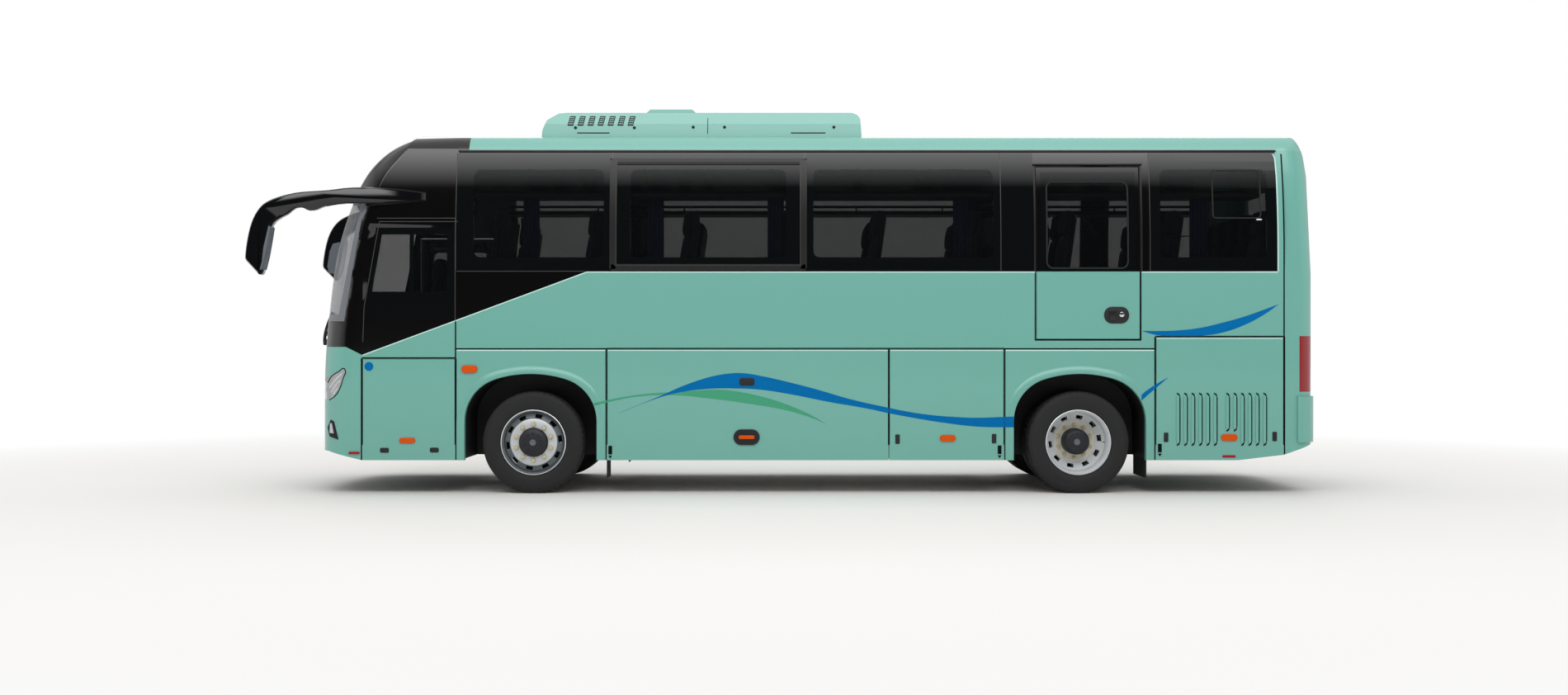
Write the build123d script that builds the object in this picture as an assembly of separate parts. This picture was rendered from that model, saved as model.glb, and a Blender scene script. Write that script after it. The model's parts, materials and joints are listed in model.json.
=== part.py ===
from build123d import *
import math
import os

# A high-floor touring coach, 9.3 m long, in millimetres.
# It faces -X, +Y is its kerb side with the passenger door, +Z is up, and the ground is z = 0.

# ---------------------------------------------------------------- driving sizes
wheelbase = 4970
front_axle_x = -2330
rear_axle_x = front_axle_x + wheelbase
body_half_width = 1240
wall = 45                       # thickness of side walls, roof, doors and flaps
glass = 5                       # thickness of bonded panes
seam = 6                        # gap round every door and flap
running = 0.05                  # radial clearance of a shaft in its bore
side_clearance = 0.5            # axial clearance at pins and hubs

# cross-section of the body
shoulder_z = 2200               # the sides are upright up to here
side_radius = 4200              # then lean in on this arc
gutter_z = 3130
roof_corner_radius = 190
crown_radius = 8000

# length of the body and its vertical joints
front_joint_x = front_axle_x - 699          # front cap starts here
mask_joint_x = front_joint_x - 851          # front mask meets the side
rear_joint_x = rear_axle_x + 1861           # rear cap starts here
front_arch_rear_x = front_axle_x + 673
luggage_rear_x = rear_axle_x - 681
luggage_split_x = luggage_rear_x - 1050
engine_flap_x = rear_axle_x + 691

# heights of the horizontal joints
skirt_z = 306
panel_top_z = 1318              # top of luggage doors and arch panels
engine_flap_top_z = 1427
service_flap_top_z = 1232
belt_z = 2020                   # foot of the glass band
window_low_z = 2150
window_high_z = 2952
pane_high_z = 3110
window_corner = 60

# caps: plan bow, corner radius and the centreline as a chain of arcs
front_nose_x = mask_joint_x - 550
front_bow_radius = 3500
front_corner_radius = 280
rear_end_x = rear_joint_x + 350
rear_bow_radius = 9000
rear_corner_radius = 160
cap_over = 2                    # how far a cap's plan stands outside the side walls
beyond = 260                    # how far a cutting shape reaches outside the body
inboard = 340                   # and how far it reaches in from a side

# ---------------------------------------------------------------- helpers
parts = {}


def block(x, y, z):
    """A box from three (low, high) pairs."""
    size = [b - a for a, b in (x, y, z)]
    centre = [(a + b) / 2 for a, b in (x, y, z)]
    return Pos(*centre) * Box(*size)


outside_y = body_half_width + beyond


def side_range(side, outer=outside_y, inner=body_half_width - inboard):
    """The (low, high) Y of a cut through one side wall."""
    return tuple(sorted((side * outer, side * inner)))


def side_prism(points, y_low=-outside_y, y_high=outside_y):
    """A polygon of (x, z) corners drawn in side view and extruded across the body."""
    face = make_face(Polyline([(x, y_low, z) for x, z in points], close=True))
    return extrude(face, amount=y_high - y_low, dir=(0, 1, 0))


def front_prism(points, x_low, x_high):
    """A polygon of (y, z) corners drawn in front view and extruded lengthwise."""
    face = make_face(Polyline([(x_low, y, z) for y, z in points], close=True))
    return extrude(face, amount=x_high - x_low, dir=(1, 0, 0))


def rounded_window(x, z, radius, y_low=-outside_y, y_high=outside_y):
    """A window hole with rounded corners, cut straight across."""
    width, height = x[1] - x[0], z[1] - z[0]
    centre = ((x[0] + x[1]) / 2, y_low, (z[0] + z[1]) / 2)
    plane = Plane(origin=centre, x_dir=(1, 0, 0), z_dir=(0, 1, 0))
    return extrude(plane * RectangleRounded(width, height, radius), amount=y_high - y_low)


def rod(start, end, radius):
    """A round bar from one point to another."""
    line = Vector(*end) - Vector(*start)
    plane = Plane(origin=start, z_dir=line)
    return extrude(plane * Circle(radius), amount=line.length)


def turned(points, axis_y=0):
    """A ring turned about the Y axis from (radius, y) corners."""
    face = make_face(Polyline([(r, axis_y + y, 0) for r, y in points], close=True))
    return revolve(face, axis=Axis((0, 0, 0), (0, 1, 0)), revolution_arc=360)


def fuse(shapes):
    """One shape from a list of touching shapes."""
    shapes = list(shapes)
    return shapes[0] + shapes[1:] if len(shapes) > 1 else shapes[0]


def both_sides(shape):
    """A shape and its mirror image in the centre plane."""
    return Compound(children=list(shape.solids()) + list(mirror(shape, about=Plane.XZ).solids()))


def group(shapes):
    """Separate solids kept in one node."""
    return Compound(children=[s for shape in shapes for s in shape.solids()])


# ---------------------------------------------------------------- body sections
lean = math.asin((gutter_z - shoulder_z) / side_radius)
side_centre = (body_half_width - side_radius, shoulder_z)
corner_centre = (
    side_centre[0] + (side_radius - roof_corner_radius) * math.cos(lean),
    side_centre[1] + (side_radius - roof_corner_radius) * math.sin(lean),
)
crown_start = math.acos(corner_centre[0] / (crown_radius - roof_corner_radius))
crown_centre_z = corner_centre[1] - (crown_radius - roof_corner_radius) * math.sin(crown_start)
roof_top_z = crown_centre_z + crown_radius


def polar(centre, radius, angle):
    """The point at an angle on a circle."""
    return centre[0] + radius * math.cos(angle), centre[1] + radius * math.sin(angle)


def body_prism(depth, x_low, x_high, z_low):
    """The body's full cross-section, inset by depth, extruded lengthwise."""
    def half(side):
        """The edges from the foot of one side to the crown."""
        def at(p):
            return (x_low, side * p[0], p[1])
        upright = body_half_width - depth
        lean_r, corner_r = side_radius - depth, roof_corner_radius - depth
        return [
            Line(at((upright, z_low)), at((upright, shoulder_z))),
            ThreePointArc(*[at(polar(side_centre, lean_r, k * lean)) for k in (0, 0.5, 1)]),
            ThreePointArc(*[at(polar(corner_centre, corner_r, lean + k * (crown_start - lean)))
                            for k in (0, 0.5, 1)]),
        ]
    edge_y, edge_z = polar(corner_centre, roof_corner_radius - depth, crown_start)
    crown = ThreePointArc((x_low, edge_y, edge_z), (x_low, 0, roof_top_z - depth), (x_low, -edge_y, edge_z))
    foot_y = body_half_width - depth
    foot = Line((x_low, -foot_y, z_low), (x_low, foot_y, z_low))
    outline = Wire(half(1) + [crown] + half(-1) + [foot])
    return extrude(Face(outline), amount=x_high - x_low, dir=(1, 0, 0))


def wall_strip(side, depths, x, z):
    """A length of side wall between two depths and two heights, on side -1 or +1."""
    def at(depth, height):
        """A point of the wall at a depth below its outer skin."""
        if height <= shoulder_z:
            return (x[0], side * (body_half_width - depth), height)
        angle = math.asin((height - shoulder_z) / side_radius)
        y, z_arc = polar(side_centre, side_radius - depth, angle)
        return (x[0], side * y, z_arc)
    outer, inner = depths
    low, high = z
    if high <= shoulder_z:
        return block(x, side_range(side, body_half_width - outer, body_half_width - inner), z)
    start = max(low, shoulder_z)
    middle = (start + high) / 2
    edges = [
        ThreePointArc(at(outer, start), at(outer, middle), at(outer, high)),
        Line(at(outer, high), at(inner, high)),
        ThreePointArc(at(inner, high), at(inner, middle), at(inner, start)),
    ]
    if low < shoulder_z:
        edges += [
            Line(at(inner, start), at(inner, low)),
            Line(at(inner, low), at(outer, low)),
            Line(at(outer, low), at(outer, start)),
        ]
    else:
        edges += [Line(at(inner, start), at(outer, start))]
    return extrude(Face(Wire(edges)), amount=x[1] - x[0], dir=(1, 0, 0))


# ---------------------------------------------------------------- front and rear caps
# Each row of a centreline: start angle and end angle from upright in degrees, radius.
front_upright_z = 850
front_centreline = [(0, 4, 6880), (4, 8, 9654), (8, 25, 2823), (25, 80, 871), (80, 90, 3200)]
front_levels = (0, 2, 4, 6, 8, 14, 20, 25, 36, 47, 58, 69, 80, 90)
rear_upright_z = 2000
rear_centreline = [(0, 4, 12900), (4, 10, 1734), (10, 80, 316), (80, 90, 400)]
rear_levels = (0, 4, 10, 18, 26, 34, 42, 50, 58, 66, 74, 82, 90)


def centreline_point(chain, start_z, level):
    """How far the centreline has leaned in, and its height, where it reaches an angle."""
    inset, height = 0, start_z
    for first, last, radius in chain:
        stop = min(level, last)
        if stop > first:
            a, b = math.radians(first), math.radians(stop)
            inset += radius * (math.cos(a) - math.cos(b))
            height += radius * (math.sin(b) - math.sin(a))
    return inset, height


def half_width_at(height):
    """Half the body's width between its side walls at a height."""
    rise = min(max(height, shoulder_z), gutter_z) - shoulder_z
    return body_half_width - side_radius + math.sqrt(side_radius ** 2 - rise ** 2)


def cap_plan(end, nose_x, height, depth, bow, corner, inner_x):
    """A level outline of a cap: bowed end, two corners, two sides. end is -1 front, +1 rear."""
    width = half_width_at(height) - depth + cap_over
    corner_r = corner - depth
    nose = end * nose_x - depth
    bow_x = nose - bow
    y = width - corner_r
    x = bow_x + math.sqrt((bow - corner_r) ** 2 - y ** 2)
    angle = math.atan2(y, x - bow_x)
    half_turn = (angle + math.pi / 2) / 2
    touch = (bow_x + bow * math.cos(angle), bow * math.sin(angle))
    middle = (x + corner_r * math.cos(half_turn), y + corner_r * math.sin(half_turn))
    edge = (x, width)

    def at(p, side):
        return (end * p[0], side * p[1], height)
    back = (end * inner_x, width)
    return Wire([
        ThreePointArc(at(touch, -1), at((nose, 0), 1), at(touch, 1)),
        ThreePointArc(at(touch, 1), at(middle, 1), at(edge, 1)),
        Line(at(edge, 1), at(back, 1)),
        Line(at(back, 1), at(back, -1)),
        Line(at(back, -1), at(edge, -1)),
        ThreePointArc(at(edge, -1), at(middle, -1), at(touch, -1)),
    ])


cap_root = 300                  # a cap's loft starts this far inside the straight body
cap_foot_z = 200


def cap(end, depth):
    """The closed end of the body, inset by depth."""
    if end < 0:
        chain, levels, start_z = front_centreline, front_levels, front_upright_z
        nose, bow, corner, joint = front_nose_x, front_bow_radius, front_corner_radius, front_joint_x
    else:
        chain, levels, start_z = rear_centreline, rear_levels, rear_upright_z
        nose, bow, corner, joint = rear_end_x, rear_bow_radius, rear_corner_radius, rear_joint_x
    inner_x = joint - end * cap_root
    plans = []
    for level in levels:
        inset, height = centreline_point(chain, start_z, level)
        plans.append(cap_plan(end, nose - end * inset, height, depth, bow, corner, inner_x))
    upper = Solid.make_loft(plans, ruled=end > 0)
    foot = cap_plan(end, nose, cap_foot_z, depth, bow, corner, inner_x)
    lower = extrude(Face(foot), amount=start_z - cap_foot_z, dir=(0, 0, 1))
    reach = sorted((joint, end * (abs(nose) + beyond)))
    return (lower + upper) & body_prism(depth, reach[0], reach[1], cap_foot_z - wall)


front_body = cap(-1, 0)
front_inside = cap(-1, wall)
front_shell = front_body - front_inside
rear_body = cap(1, 0)
rear_inside = cap(1, wall)
rear_shell = rear_body - rear_inside

# skirt line in side view: what lies under it is cut away, rising to a clear angle at each end
front_limit_x = front_nose_x - beyond
rear_limit_x = rear_end_x + beyond
skirt_line = [
    (front_limit_x, skirt_z + 94), (mask_joint_x - 326, skirt_z + 80), (mask_joint_x - 4, skirt_z),
    (rear_joint_x - 420, skirt_z), (rear_joint_x, skirt_z + 49), (rear_joint_x + 240, skirt_z + 134),
    (rear_limit_x, skirt_z + 190),
]
under_skirt = side_prism([(front_limit_x, 0)] + skirt_line + [(rear_limit_x, 0)])


# ---------------------------------------------------------------- wheel arches
arch_half_width = 600
arch_shoulder_z = 660
arch_shoulder_radius = 400
arch_top_z = 1090
arch_lip = 60
arch_proud = 6


def arch_outline(centre_x, grow, y_low, y_high):
    """The wheel opening in side view: upright sides, two shoulders and a large arc on top.

    The shoulders are tangent to the upright sides and to the top arc.
    """
    half, shoulder = arch_half_width + grow, arch_shoulder_radius + grow
    a, k = arch_half_width - arch_shoulder_radius, arch_top_z + grow - arch_shoulder_z
    top = (a * a + k * k - shoulder * shoulder) / (2 * (k - shoulder))
    centre_z = arch_top_z + grow - top
    reach = math.hypot(a, arch_shoulder_z - centre_z)
    touch = (top * a / reach, centre_z + top * (arch_shoulder_z - centre_z) / reach)
    tilt = math.atan2(arch_shoulder_z - centre_z, a) / 2
    bulge = (a + shoulder * math.cos(tilt), arch_shoulder_z + shoulder * math.sin(tilt))

    def at(x, z, side=1):
        return (centre_x + side * x, y_low, z)
    wire = Wire([
        Line(at(half, 0, -1), at(half, arch_shoulder_z, -1)),
        ThreePointArc(at(half, arch_shoulder_z, -1), at(*bulge, -1), at(*touch, -1)),
        ThreePointArc(at(*touch, -1), at(0, arch_top_z + grow), at(*touch)),
        ThreePointArc(at(*touch), at(*bulge), at(half, arch_shoulder_z)),
        Line(at(half, arch_shoulder_z), at(half, 0)),
        Line(at(half, 0), at(half, 0, -1)),
    ])
    return extrude(Face(wire), amount=y_high - y_low, dir=(0, 1, 0))


# Each row: centre, panel from, panel to.
arches = [
    (front_axle_x - 16, front_joint_x, front_arch_rear_x),
    (rear_axle_x + 3, luggage_rear_x, engine_flap_x),
]
left_half = (-outside_y, 0)
outer_y = (-body_half_width, -body_half_width + wall)
arch_pieces = []
for centre_x, x_low, x_high in arches:
    opening = arch_outline(centre_x, 0, *left_half)
    panel = block((x_low, x_high), outer_y, (skirt_z, panel_top_z)) - opening
    lip = arch_outline(centre_x, arch_lip, outer_y[0] - arch_proud, outer_y[0]) - opening
    lip &= block((x_low, x_high), left_half, (skirt_z, panel_top_z))
    arch_pieces.append(panel + lip)
parts["arch_panels"] = both_sides(group(arch_pieces))

# wheel housings: an inner wall and a curved sheet over each wheel
housing_sheet = 8
housing_inner_y = (body_half_width - 620, body_half_width - 600)    # front, rear
housing_low_z = skirt_z + 14
axle_gap_z = 600                # the axles and the track rod pass below this
axle_gap_x = ((front_axle_x - 120, front_axle_x + 260), (rear_axle_x - 130, rear_axle_x + 130))
housings = []
for (centre_x, _, _), inner_y, gap_x in zip(arches, housing_inner_y, axle_gap_x):
    over = arch_outline(centre_x, housing_sheet, outer_y[1], -inner_y)
    over -= arch_outline(centre_x, 0, outer_y[0], -inner_y - housing_sheet)
    over -= block(gap_x, left_half, (0, axle_gap_z))
    housings.append(over - block((front_limit_x, rear_limit_x), left_half, (-wall, housing_low_z)))
parts["wheel_housings"] = both_sides(group(housings))

# ---------------------------------------------------------------- side walls
pane_gap = 8                    # upright joint between two panes
emergency_x = (rear_axle_x - 396, rear_axle_x + 560)
emergency_z = (panel_top_z + 79, gutter_z - 143)
first_joint_x = front_joint_x + 1417
second_joint_x = first_joint_x + 1756
third_joint_x = second_joint_x + 1785
last_joint_x = emergency_x[1] + 86
glass_end_x = rear_joint_x - 60

# Each row: joint ahead of the pane, joint behind it, clear area from and to.
window_bays = [
    (front_joint_x, first_joint_x, front_joint_x + 160, first_joint_x - 74),
    (first_joint_x, second_joint_x, first_joint_x + 172, second_joint_x - 171),
    (second_joint_x, third_joint_x, second_joint_x + 80, third_joint_x - 68),
    (last_joint_x, glass_end_x, last_joint_x + 94, glass_end_x - 90),
]
emergency_window_x = (emergency_x[0] + 100, emergency_x[1] - 117)
emergency_window_z = (belt_z + 30, emergency_z[1] - 146)
emergency_pane = ((emergency_x[0] + 46, emergency_x[1] - 46), (belt_z + 4, emergency_z[1] - 57))
blank_bay = (third_joint_x, emergency_x[0] - 15, None, None)        # panel ahead of the emergency door
kerb_bay = (third_joint_x, last_joint_x) + emergency_window_x       # a window faces the emergency door
pane_z = (belt_z + 4, pane_high_z)
clear_z = (window_low_z, window_high_z)

# driver's window: corners from the mask joint, clockwise from the top at the front
driver_clear = [(mask_joint_x + x, z) for x, z in
                [(172, 2359), (772, 2359), (772, 1648), (50, 1648), (82, 1837)]]
driver_pane = [(mask_joint_x + x, z) for x, z in
               [(128, 2420), (832, 2420), (832, 1588), (12, 1588), (32, 1800)]]

door_x = (mask_joint_x, front_joint_x)
door_z = (380, 2480)
door_clear = ((door_x[0] + 135, door_x[1] - 131), (door_z[0] + 670, door_z[1] - 150))
door_pane = ((door_x[0] + 65, door_x[1] - 61), (door_z[0] + 600, door_z[1] - 80))
door_pane_corner = 40

cap_side = [(x, z) for x, z in zip(door_x + door_x[::-1], [service_flap_top_z] * 2 + [gutter_z] * 2)]


def straight_wall(side):
    """The upright and leaning wall from the front joint to the rear joint."""
    strip = wall_strip(side, (0, wall), (front_joint_x, rear_joint_x), (panel_top_z, gutter_z))
    return strip - block((engine_flap_x, rear_joint_x), side_range(side), (panel_top_z, engine_flap_top_z))


# windscreen: it wraps round the corners and its upper ends lap over the side walls
mask_top_z = panel_top_z
dome_low_z = 2790
screen_rebate = 60              # how far the pane laps over the surround
screen_z = (mask_top_z + 252, dome_low_z - 50)
screen_wrap_z = door_z[1] + 10  # above the doors the pane reaches furthest back
whole_width = (-outside_y, outside_y)

# side-view outlines, X from the mask joint: the pane, then the hole behind it
screen_pane = [(front_limit_x, screen_z[0])]
screen_pane += [(mask_joint_x + x, z) for x, z in
                [(-165, screen_z[0]), (-8, screen_wrap_z),
                 (34, screen_wrap_z + 85), (4, screen_wrap_z + 200)]]
screen_pane += [(front_limit_x, screen_z[1])]
screen_clear = [(front_limit_x, screen_z[0] + screen_rebate)]
screen_clear += [(mask_joint_x - screen_rebate + x, z) for x, z in
                 [(-160, screen_z[0] + screen_rebate), (30, screen_wrap_z + 85), (-10, screen_z[1] - 110)]]
screen_clear += [(front_limit_x, screen_z[1] - screen_rebate)]
front_glass = front_body - cap(-1, glass)
screen = side_prism(screen_pane) & front_glass

side_panes = []
walls = {}
for side, name in ((-1, "left"), (1, "right")):
    body = straight_wall(side)
    y = side_range(side)
    bays = window_bays + [kerb_bay if side > 0 else blank_bay]
    for x_low, x_high, clear_low, clear_high in bays:
        pane_x = (x_low + pane_gap / 2, x_high - pane_gap / 2)
        pane = wall_strip(side, (0, glass), pane_x, pane_z)
        side_panes.append(pane)
        body -= pane
        if clear_low is not None:
            body -= rounded_window((clear_low, clear_high), clear_z, window_corner, *y)
    front = front_shell & side_prism(cap_side, *y)
    if side < 0:
        body -= block(emergency_x, y, emergency_z)
        pane = front_glass & side_prism(driver_pane, *y)
        side_panes.append(pane)
        front = front - pane - side_prism(driver_clear, *y)
    else:
        front -= block(door_x, y, door_z)
    walls[name] = body + (front - screen)
parts["left_side_wall"] = walls["left"]
parts["right_side_wall"] = walls["right"]
parts["side_windows"] = group(side_panes)

# ---------------------------------------------------------------- roof
def roof_strip(depth_out, depth_in, x_low, x_high):
    """The roof shell from gutter to gutter between two depths."""
    def corner(depth, side):
        """The small arc from the gutter to the crown."""
        corner_r = roof_corner_radius - depth
        points = [polar(corner_centre, corner_r, lean + k * (crown_start - lean)) for k in (0, 0.5, 1)]
        return ThreePointArc(*[(x_low, side * y, z) for y, z in points])

    def crown(depth):
        """The flat arc over the middle."""
        y, z = polar(corner_centre, roof_corner_radius - depth, crown_start)
        return ThreePointArc((x_low, y, z), (x_low, 0, roof_top_z - depth), (x_low, -y, z))
    edges = []
    for depth in (depth_out, depth_in):
        edges += [corner(depth, 1), crown(depth), corner(depth, -1)]
    for side in (1, -1):
        ends = [polar(corner_centre, roof_corner_radius - d, lean) for d in (depth_out, depth_in)]
        edges.append(Line(*[(x_low, side * y, z) for y, z in ends]))
    return extrude(Face(Wire(edges)), amount=x_high - x_low, dir=(1, 0, 0))


parts["roof"] = roof_strip(0, wall, front_joint_x, rear_joint_x)

# ---------------------------------------------------------------- front
# headlamp in side view, from its nose along its top to the rear tip and back along its foot
lamp_outline = [(mask_joint_x + x, z) for x, z in
                [(-497, 1000), (-220, 1110), (-130, 1135), (-200, 960), (-300, 850)]]
lamp_outline += [(front_limit_x, 820), (front_limit_x, 960)]
lamp_inner_y = 560
lamp_depth = 60

ahead = (front_limit_x, mask_joint_x)
mask = front_shell & block(ahead, whole_width, (cap_foot_z, mask_top_z))
step_flank = front_shell & block(door_x, (0, outside_y), (cap_foot_z, door_z[0]))
lamps = []
for side in (-1, 1):
    lamp_prism = side_prism(lamp_outline, *side_range(side, outside_y, lamp_inner_y))
    lamps.append((front_body - cap(-1, lamp_depth)) & lamp_prism)
    mask -= lamp_prism
parts["front_panel"] = fuse([mask - under_skirt, step_flank - under_skirt])
parts["front_lamps"] = group(lamps)

surround = front_shell & block(ahead, whole_width, (mask_top_z, dome_low_z))
parts["windscreen_surround"] = surround - screen - side_prism(screen_clear)
parts["windscreen"] = screen

dome = front_shell & block((front_limit_x, front_joint_x), whole_width, (dome_low_z, roof_top_z + wall))
for side in (-1, 1):
    dome -= side_prism(cap_side, *side_range(side))
parts["front_dome"] = dome

# ---------------------------------------------------------------- rear
behind = (rear_end_x - 251, rear_limit_x)       # X of a cut through the tail
rear_window_half = 950
rear_window_z = (belt_z + 40, 2960)
rear_rebate = 60
engine_door_half = 750
engine_door_z = (900, 1600)
tail_lamp_z = (927, 1434)
tail_lamp_inner_y = body_half_width - 155
tail_lamp_x = rear_end_x - 211
bumper_z = (470, 885)
bumper_x = rear_end_x - 231
bumper_proud = 24

rear_window_y = (-rear_window_half, rear_window_half)
rear_clear_y = (-rear_window_half + rear_rebate, rear_window_half - rear_rebate)
rear_clear_z = (rear_window_z[0] + rear_rebate, rear_window_z[1] - rear_rebate)
rear_glass = (rear_body - cap(1, glass)) & block(behind, rear_window_y, rear_window_z)
rear_panel = rear_shell - under_skirt - rear_glass
rear_panel -= block(behind, rear_clear_y, rear_clear_z)
rear_panel -= block(behind, (-engine_door_half, engine_door_half), engine_door_z)
tail_lamps = []
for side in (-1, 1):
    lamp_y = side_range(side, outside_y, tail_lamp_inner_y)
    lamp_place = block((tail_lamp_x, rear_limit_x), lamp_y, tail_lamp_z)
    tail_lamps.append(rear_shell & lamp_place)
    rear_panel -= lamp_place
parts["rear_panel"] = rear_panel
parts["rear_window"] = rear_glass
parts["tail_lamps"] = group(tail_lamps)
bumper_place = block((bumper_x, rear_limit_x), whole_width, bumper_z)
parts["rear_bumper"] = (cap(1, -bumper_proud) - rear_body) & bumper_place

# ---------------------------------------------------------------- floor, steps and chassis
floor_z = panel_top_z + 12
floor_sheet = 50
floor_half = body_half_width - wall - 7         # clear of the flaps
floor_front_x = front_joint_x - 71
floor_rear_x = rear_joint_x - 61
platform_z = 900                # driver's platform
platform_sheet = 40
platform_x = (mask_joint_x - 350, floor_front_x - 200)
aisle_step_z = (platform_z + floor_z) / 2
tread_depth = 250
stair_y = (floor_half - 3, floor_half - 3 - tread_depth, floor_half - 3 - 2 * tread_depth)
stair_x = (door_x[0] + 10, door_x[1] - 16)
riser = 20
platform_y = (-floor_half + 108, stair_y[-1])
treads = (door_z[0], (door_z[0] + platform_z) / 2, platform_z)

floor_low_z = floor_z - floor_sheet
front_room = cap(-1, lamp_depth + seam)         # what stands in the nose keeps clear of its lamps
floor_pieces = [
    block((floor_front_x, floor_rear_x), (-floor_half, floor_half), (floor_low_z, floor_z)),
    block((front_joint_x, engine_flap_x), (outer_y[1], -outer_y[1]), (panel_top_z + 4, floor_z)),
    block(platform_x, platform_y, (platform_z - platform_sheet, platform_z)) & front_room,
    block((platform_x[1], floor_front_x), platform_y, (aisle_step_z - platform_sheet, aisle_step_z)),
    block((platform_x[1] - riser, platform_x[1]), platform_y, (platform_z - platform_sheet, aisle_step_z)),
    block((floor_front_x - riser, floor_front_x), platform_y, (aisle_step_z - platform_sheet, floor_z)),
]
parts["cabin_floor"] = fuse(floor_pieces)

# two steps lead from the passenger door up to the platform
steps = []
for outer, inner, low, high in zip(stair_y, stair_y[1:], treads, treads[1:]):
    steps.append(block(stair_x, (inner - riser, outer), (low - platform_sheet, low)))
    steps.append(block(stair_x, (inner - riser, inner), (low - platform_sheet, high)))
parts["entry_steps"] = fuse(steps) - parts["cabin_floor"]

rail_y = (360, 440)
post = 60                       # width of posts, cross members and bumper beams
beam_x = (front_nose_x + 210, rear_end_x - 251)
tow_reach = 80                  # the towing pin stands this far outside its beam
tow_z = (395, 445)
tow_half = 50
tow_bore = 20
front_rail_x = (beam_x[0] - post / 2, front_arch_rear_x - 3)
rear_rail_x = (luggage_rear_x + 3, beam_x[1] + post / 2)
front_rail_z = (600, 780)
rear_rail_z = (640, 780)
bearer_z = (floor_low_z - 80, floor_low_z)
front_post_x = (beam_x[0], front_joint_x + 29, front_rail_x[1] - post)
rear_post_x = (luggage_rear_x + 41, engine_flap_x - 1, rear_joint_x - 101)
bay_cross_x = [front_arch_rear_x + k * (luggage_rear_x - front_arch_rear_x) / 4 for k in (1, 2, 3)]
cross_x = list(front_post_x[1:]) + bay_cross_x + list(rear_post_x) + [rear_axle_x + 120]
bumper_beam_half = 900

cross_z = (bearer_z[0] + 20, bearer_z[1])
frame_pieces = [block((x, x + post), (-floor_half, floor_half), cross_z) for x in cross_x]
for side in (-1, 1):
    y = side_range(side, *rail_y)
    frame_pieces += [
        block((floor_front_x, floor_rear_x), y, bearer_z),
        block(front_rail_x, y, front_rail_z),
        block(rear_rail_x, y, rear_rail_z),
    ]
    for x in front_post_x:
        top = platform_z - platform_sheet if x < floor_front_x else bearer_z[0]
        frame_pieces.append(block((x, x + post), y, (front_rail_z[0], top)))
    for x in rear_post_x:
        frame_pieces.append(block((x, x + post), y, (rear_rail_z[0], bearer_z[0])))
tow_bores = []
for end, x, rail_z in zip((-1, 1), beam_x, (front_rail_z, rear_rail_z)):
    pin_x = x + end * tow_reach
    plate_x = sorted((x - end * post / 2, pin_x + end * tow_half))
    frame_pieces += [
        block((x - post / 2, x + post / 2), (-bumper_beam_half, bumper_beam_half), rail_z),
        block((x - post / 2, x + post / 2), (-post / 2, post / 2), (tow_z[0], rail_z[0])),
        block(plate_x, (-tow_half, tow_half), tow_z),
    ]
    tow_bores.append(rod((pin_x, 0, tow_z[0] - 1), (pin_x, 0, tow_z[1] + 1), tow_bore))
parts["chassis_frame"] = fuse(frame_pieces) - tow_bores

# luggage bay between the axles: a floor, a ceiling, two ends and a partition
bay_x = (front_arch_rear_x + 7, luggage_rear_x - 7)
bay_z = (skirt_z + 14, bearer_z[0])
bay_sheet = 20
bay = [
    block(bay_x, (-floor_half, floor_half), (bay_z[0], bay_z[0] + bay_sheet)),
    block(bay_x, (-floor_half, floor_half), (bay_z[1] - bay_sheet, bay_z[1])),
]
for x in (bay_x[0], luggage_split_x - bay_sheet / 2, bay_x[1] - bay_sheet):
    bay.append(block((x, x + bay_sheet), (-floor_half, floor_half), bay_z))
parts["luggage_bay"] = fuse(bay)

engine_x = (engine_flap_x + 69, rear_joint_x - 101)
engine_z = (420, 1150)
parts["engine_block"] = block(engine_x, (-rail_y[0], rail_y[0]), engine_z)

# mud flaps hang behind the wheels
flap_thick = 10
mud_z = (140, 600)
mud_inner_y = (-floor_half + 258, -housing_inner_y[1] - 20)     # front, rear
front_mud_x = bay_x[0] - flap_thick
rear_mud_x = arches[1][0] + arch_half_width + housing_sheet
parts["mud_flaps"] = both_sides(group([
    block((x, x + flap_thick), (-floor_half, inner), mud_z)
    for x, inner in zip((front_mud_x, rear_mud_x), mud_inner_y)
]))

# ---------------------------------------------------------------- axles and wheels
tyre_radius = 465
tyre_half = 127.5
rim_radius = 286                # bead seat
rim_lip_radius = 298.5
rim_half = 108
wheel_y = body_half_width - 157         # centre plane of the front and the outer rear wheels
twin_pitch = 290
axle_z = tyre_radius
kingpin_y = wheel_y - 170
kingpin_radius = 22
spindle_radius = 40
eye_radius = 50
eye_half_height = 50
ear_height = 50
beam_half_x = 45
beam_half_z = 40
web_gap = 5
web_thick = 30
steer_arm = 190
steer_arm_thick = 30
steer_arm_half = 18
track_pin_radius = 12
track_eye_radius = 24
track_rod_radius = 14
track_rod_z = axle_z - 52
open_pivot_gap = 3              # play at the end of the track rod left free
rear_spindle_radius = 45
rear_tube_radius = 65
final_drive_radius = 205
spring_seat = (90, 60, 90)      # half length, half width and height over the axle's centre
spring_y = (rail_y[0] + rail_y[1]) / 2
spring_radius = 90
hub_depth = 100


def upright_rod(x, y, z, radius):
    """A round bar standing between two heights."""
    return rod((x, y, z[0]), (x, y, z[1]), radius)


eye_z = (axle_z - eye_half_height, axle_z + eye_half_height)
beam_z = (axle_z - beam_half_z, axle_z + beam_half_z)
front_axle = block((front_axle_x - beam_half_x, front_axle_x + beam_half_x), (-kingpin_y, kingpin_y), beam_z)
for side in (-1, 1):
    front_axle += upright_rod(front_axle_x, side * kingpin_y, eye_z, eye_radius)
for side in (-1, 1):
    front_axle -= upright_rod(front_axle_x, side * kingpin_y, (0, 2 * axle_z), kingpin_radius + running)
parts["front_axle"] = front_axle

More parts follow.
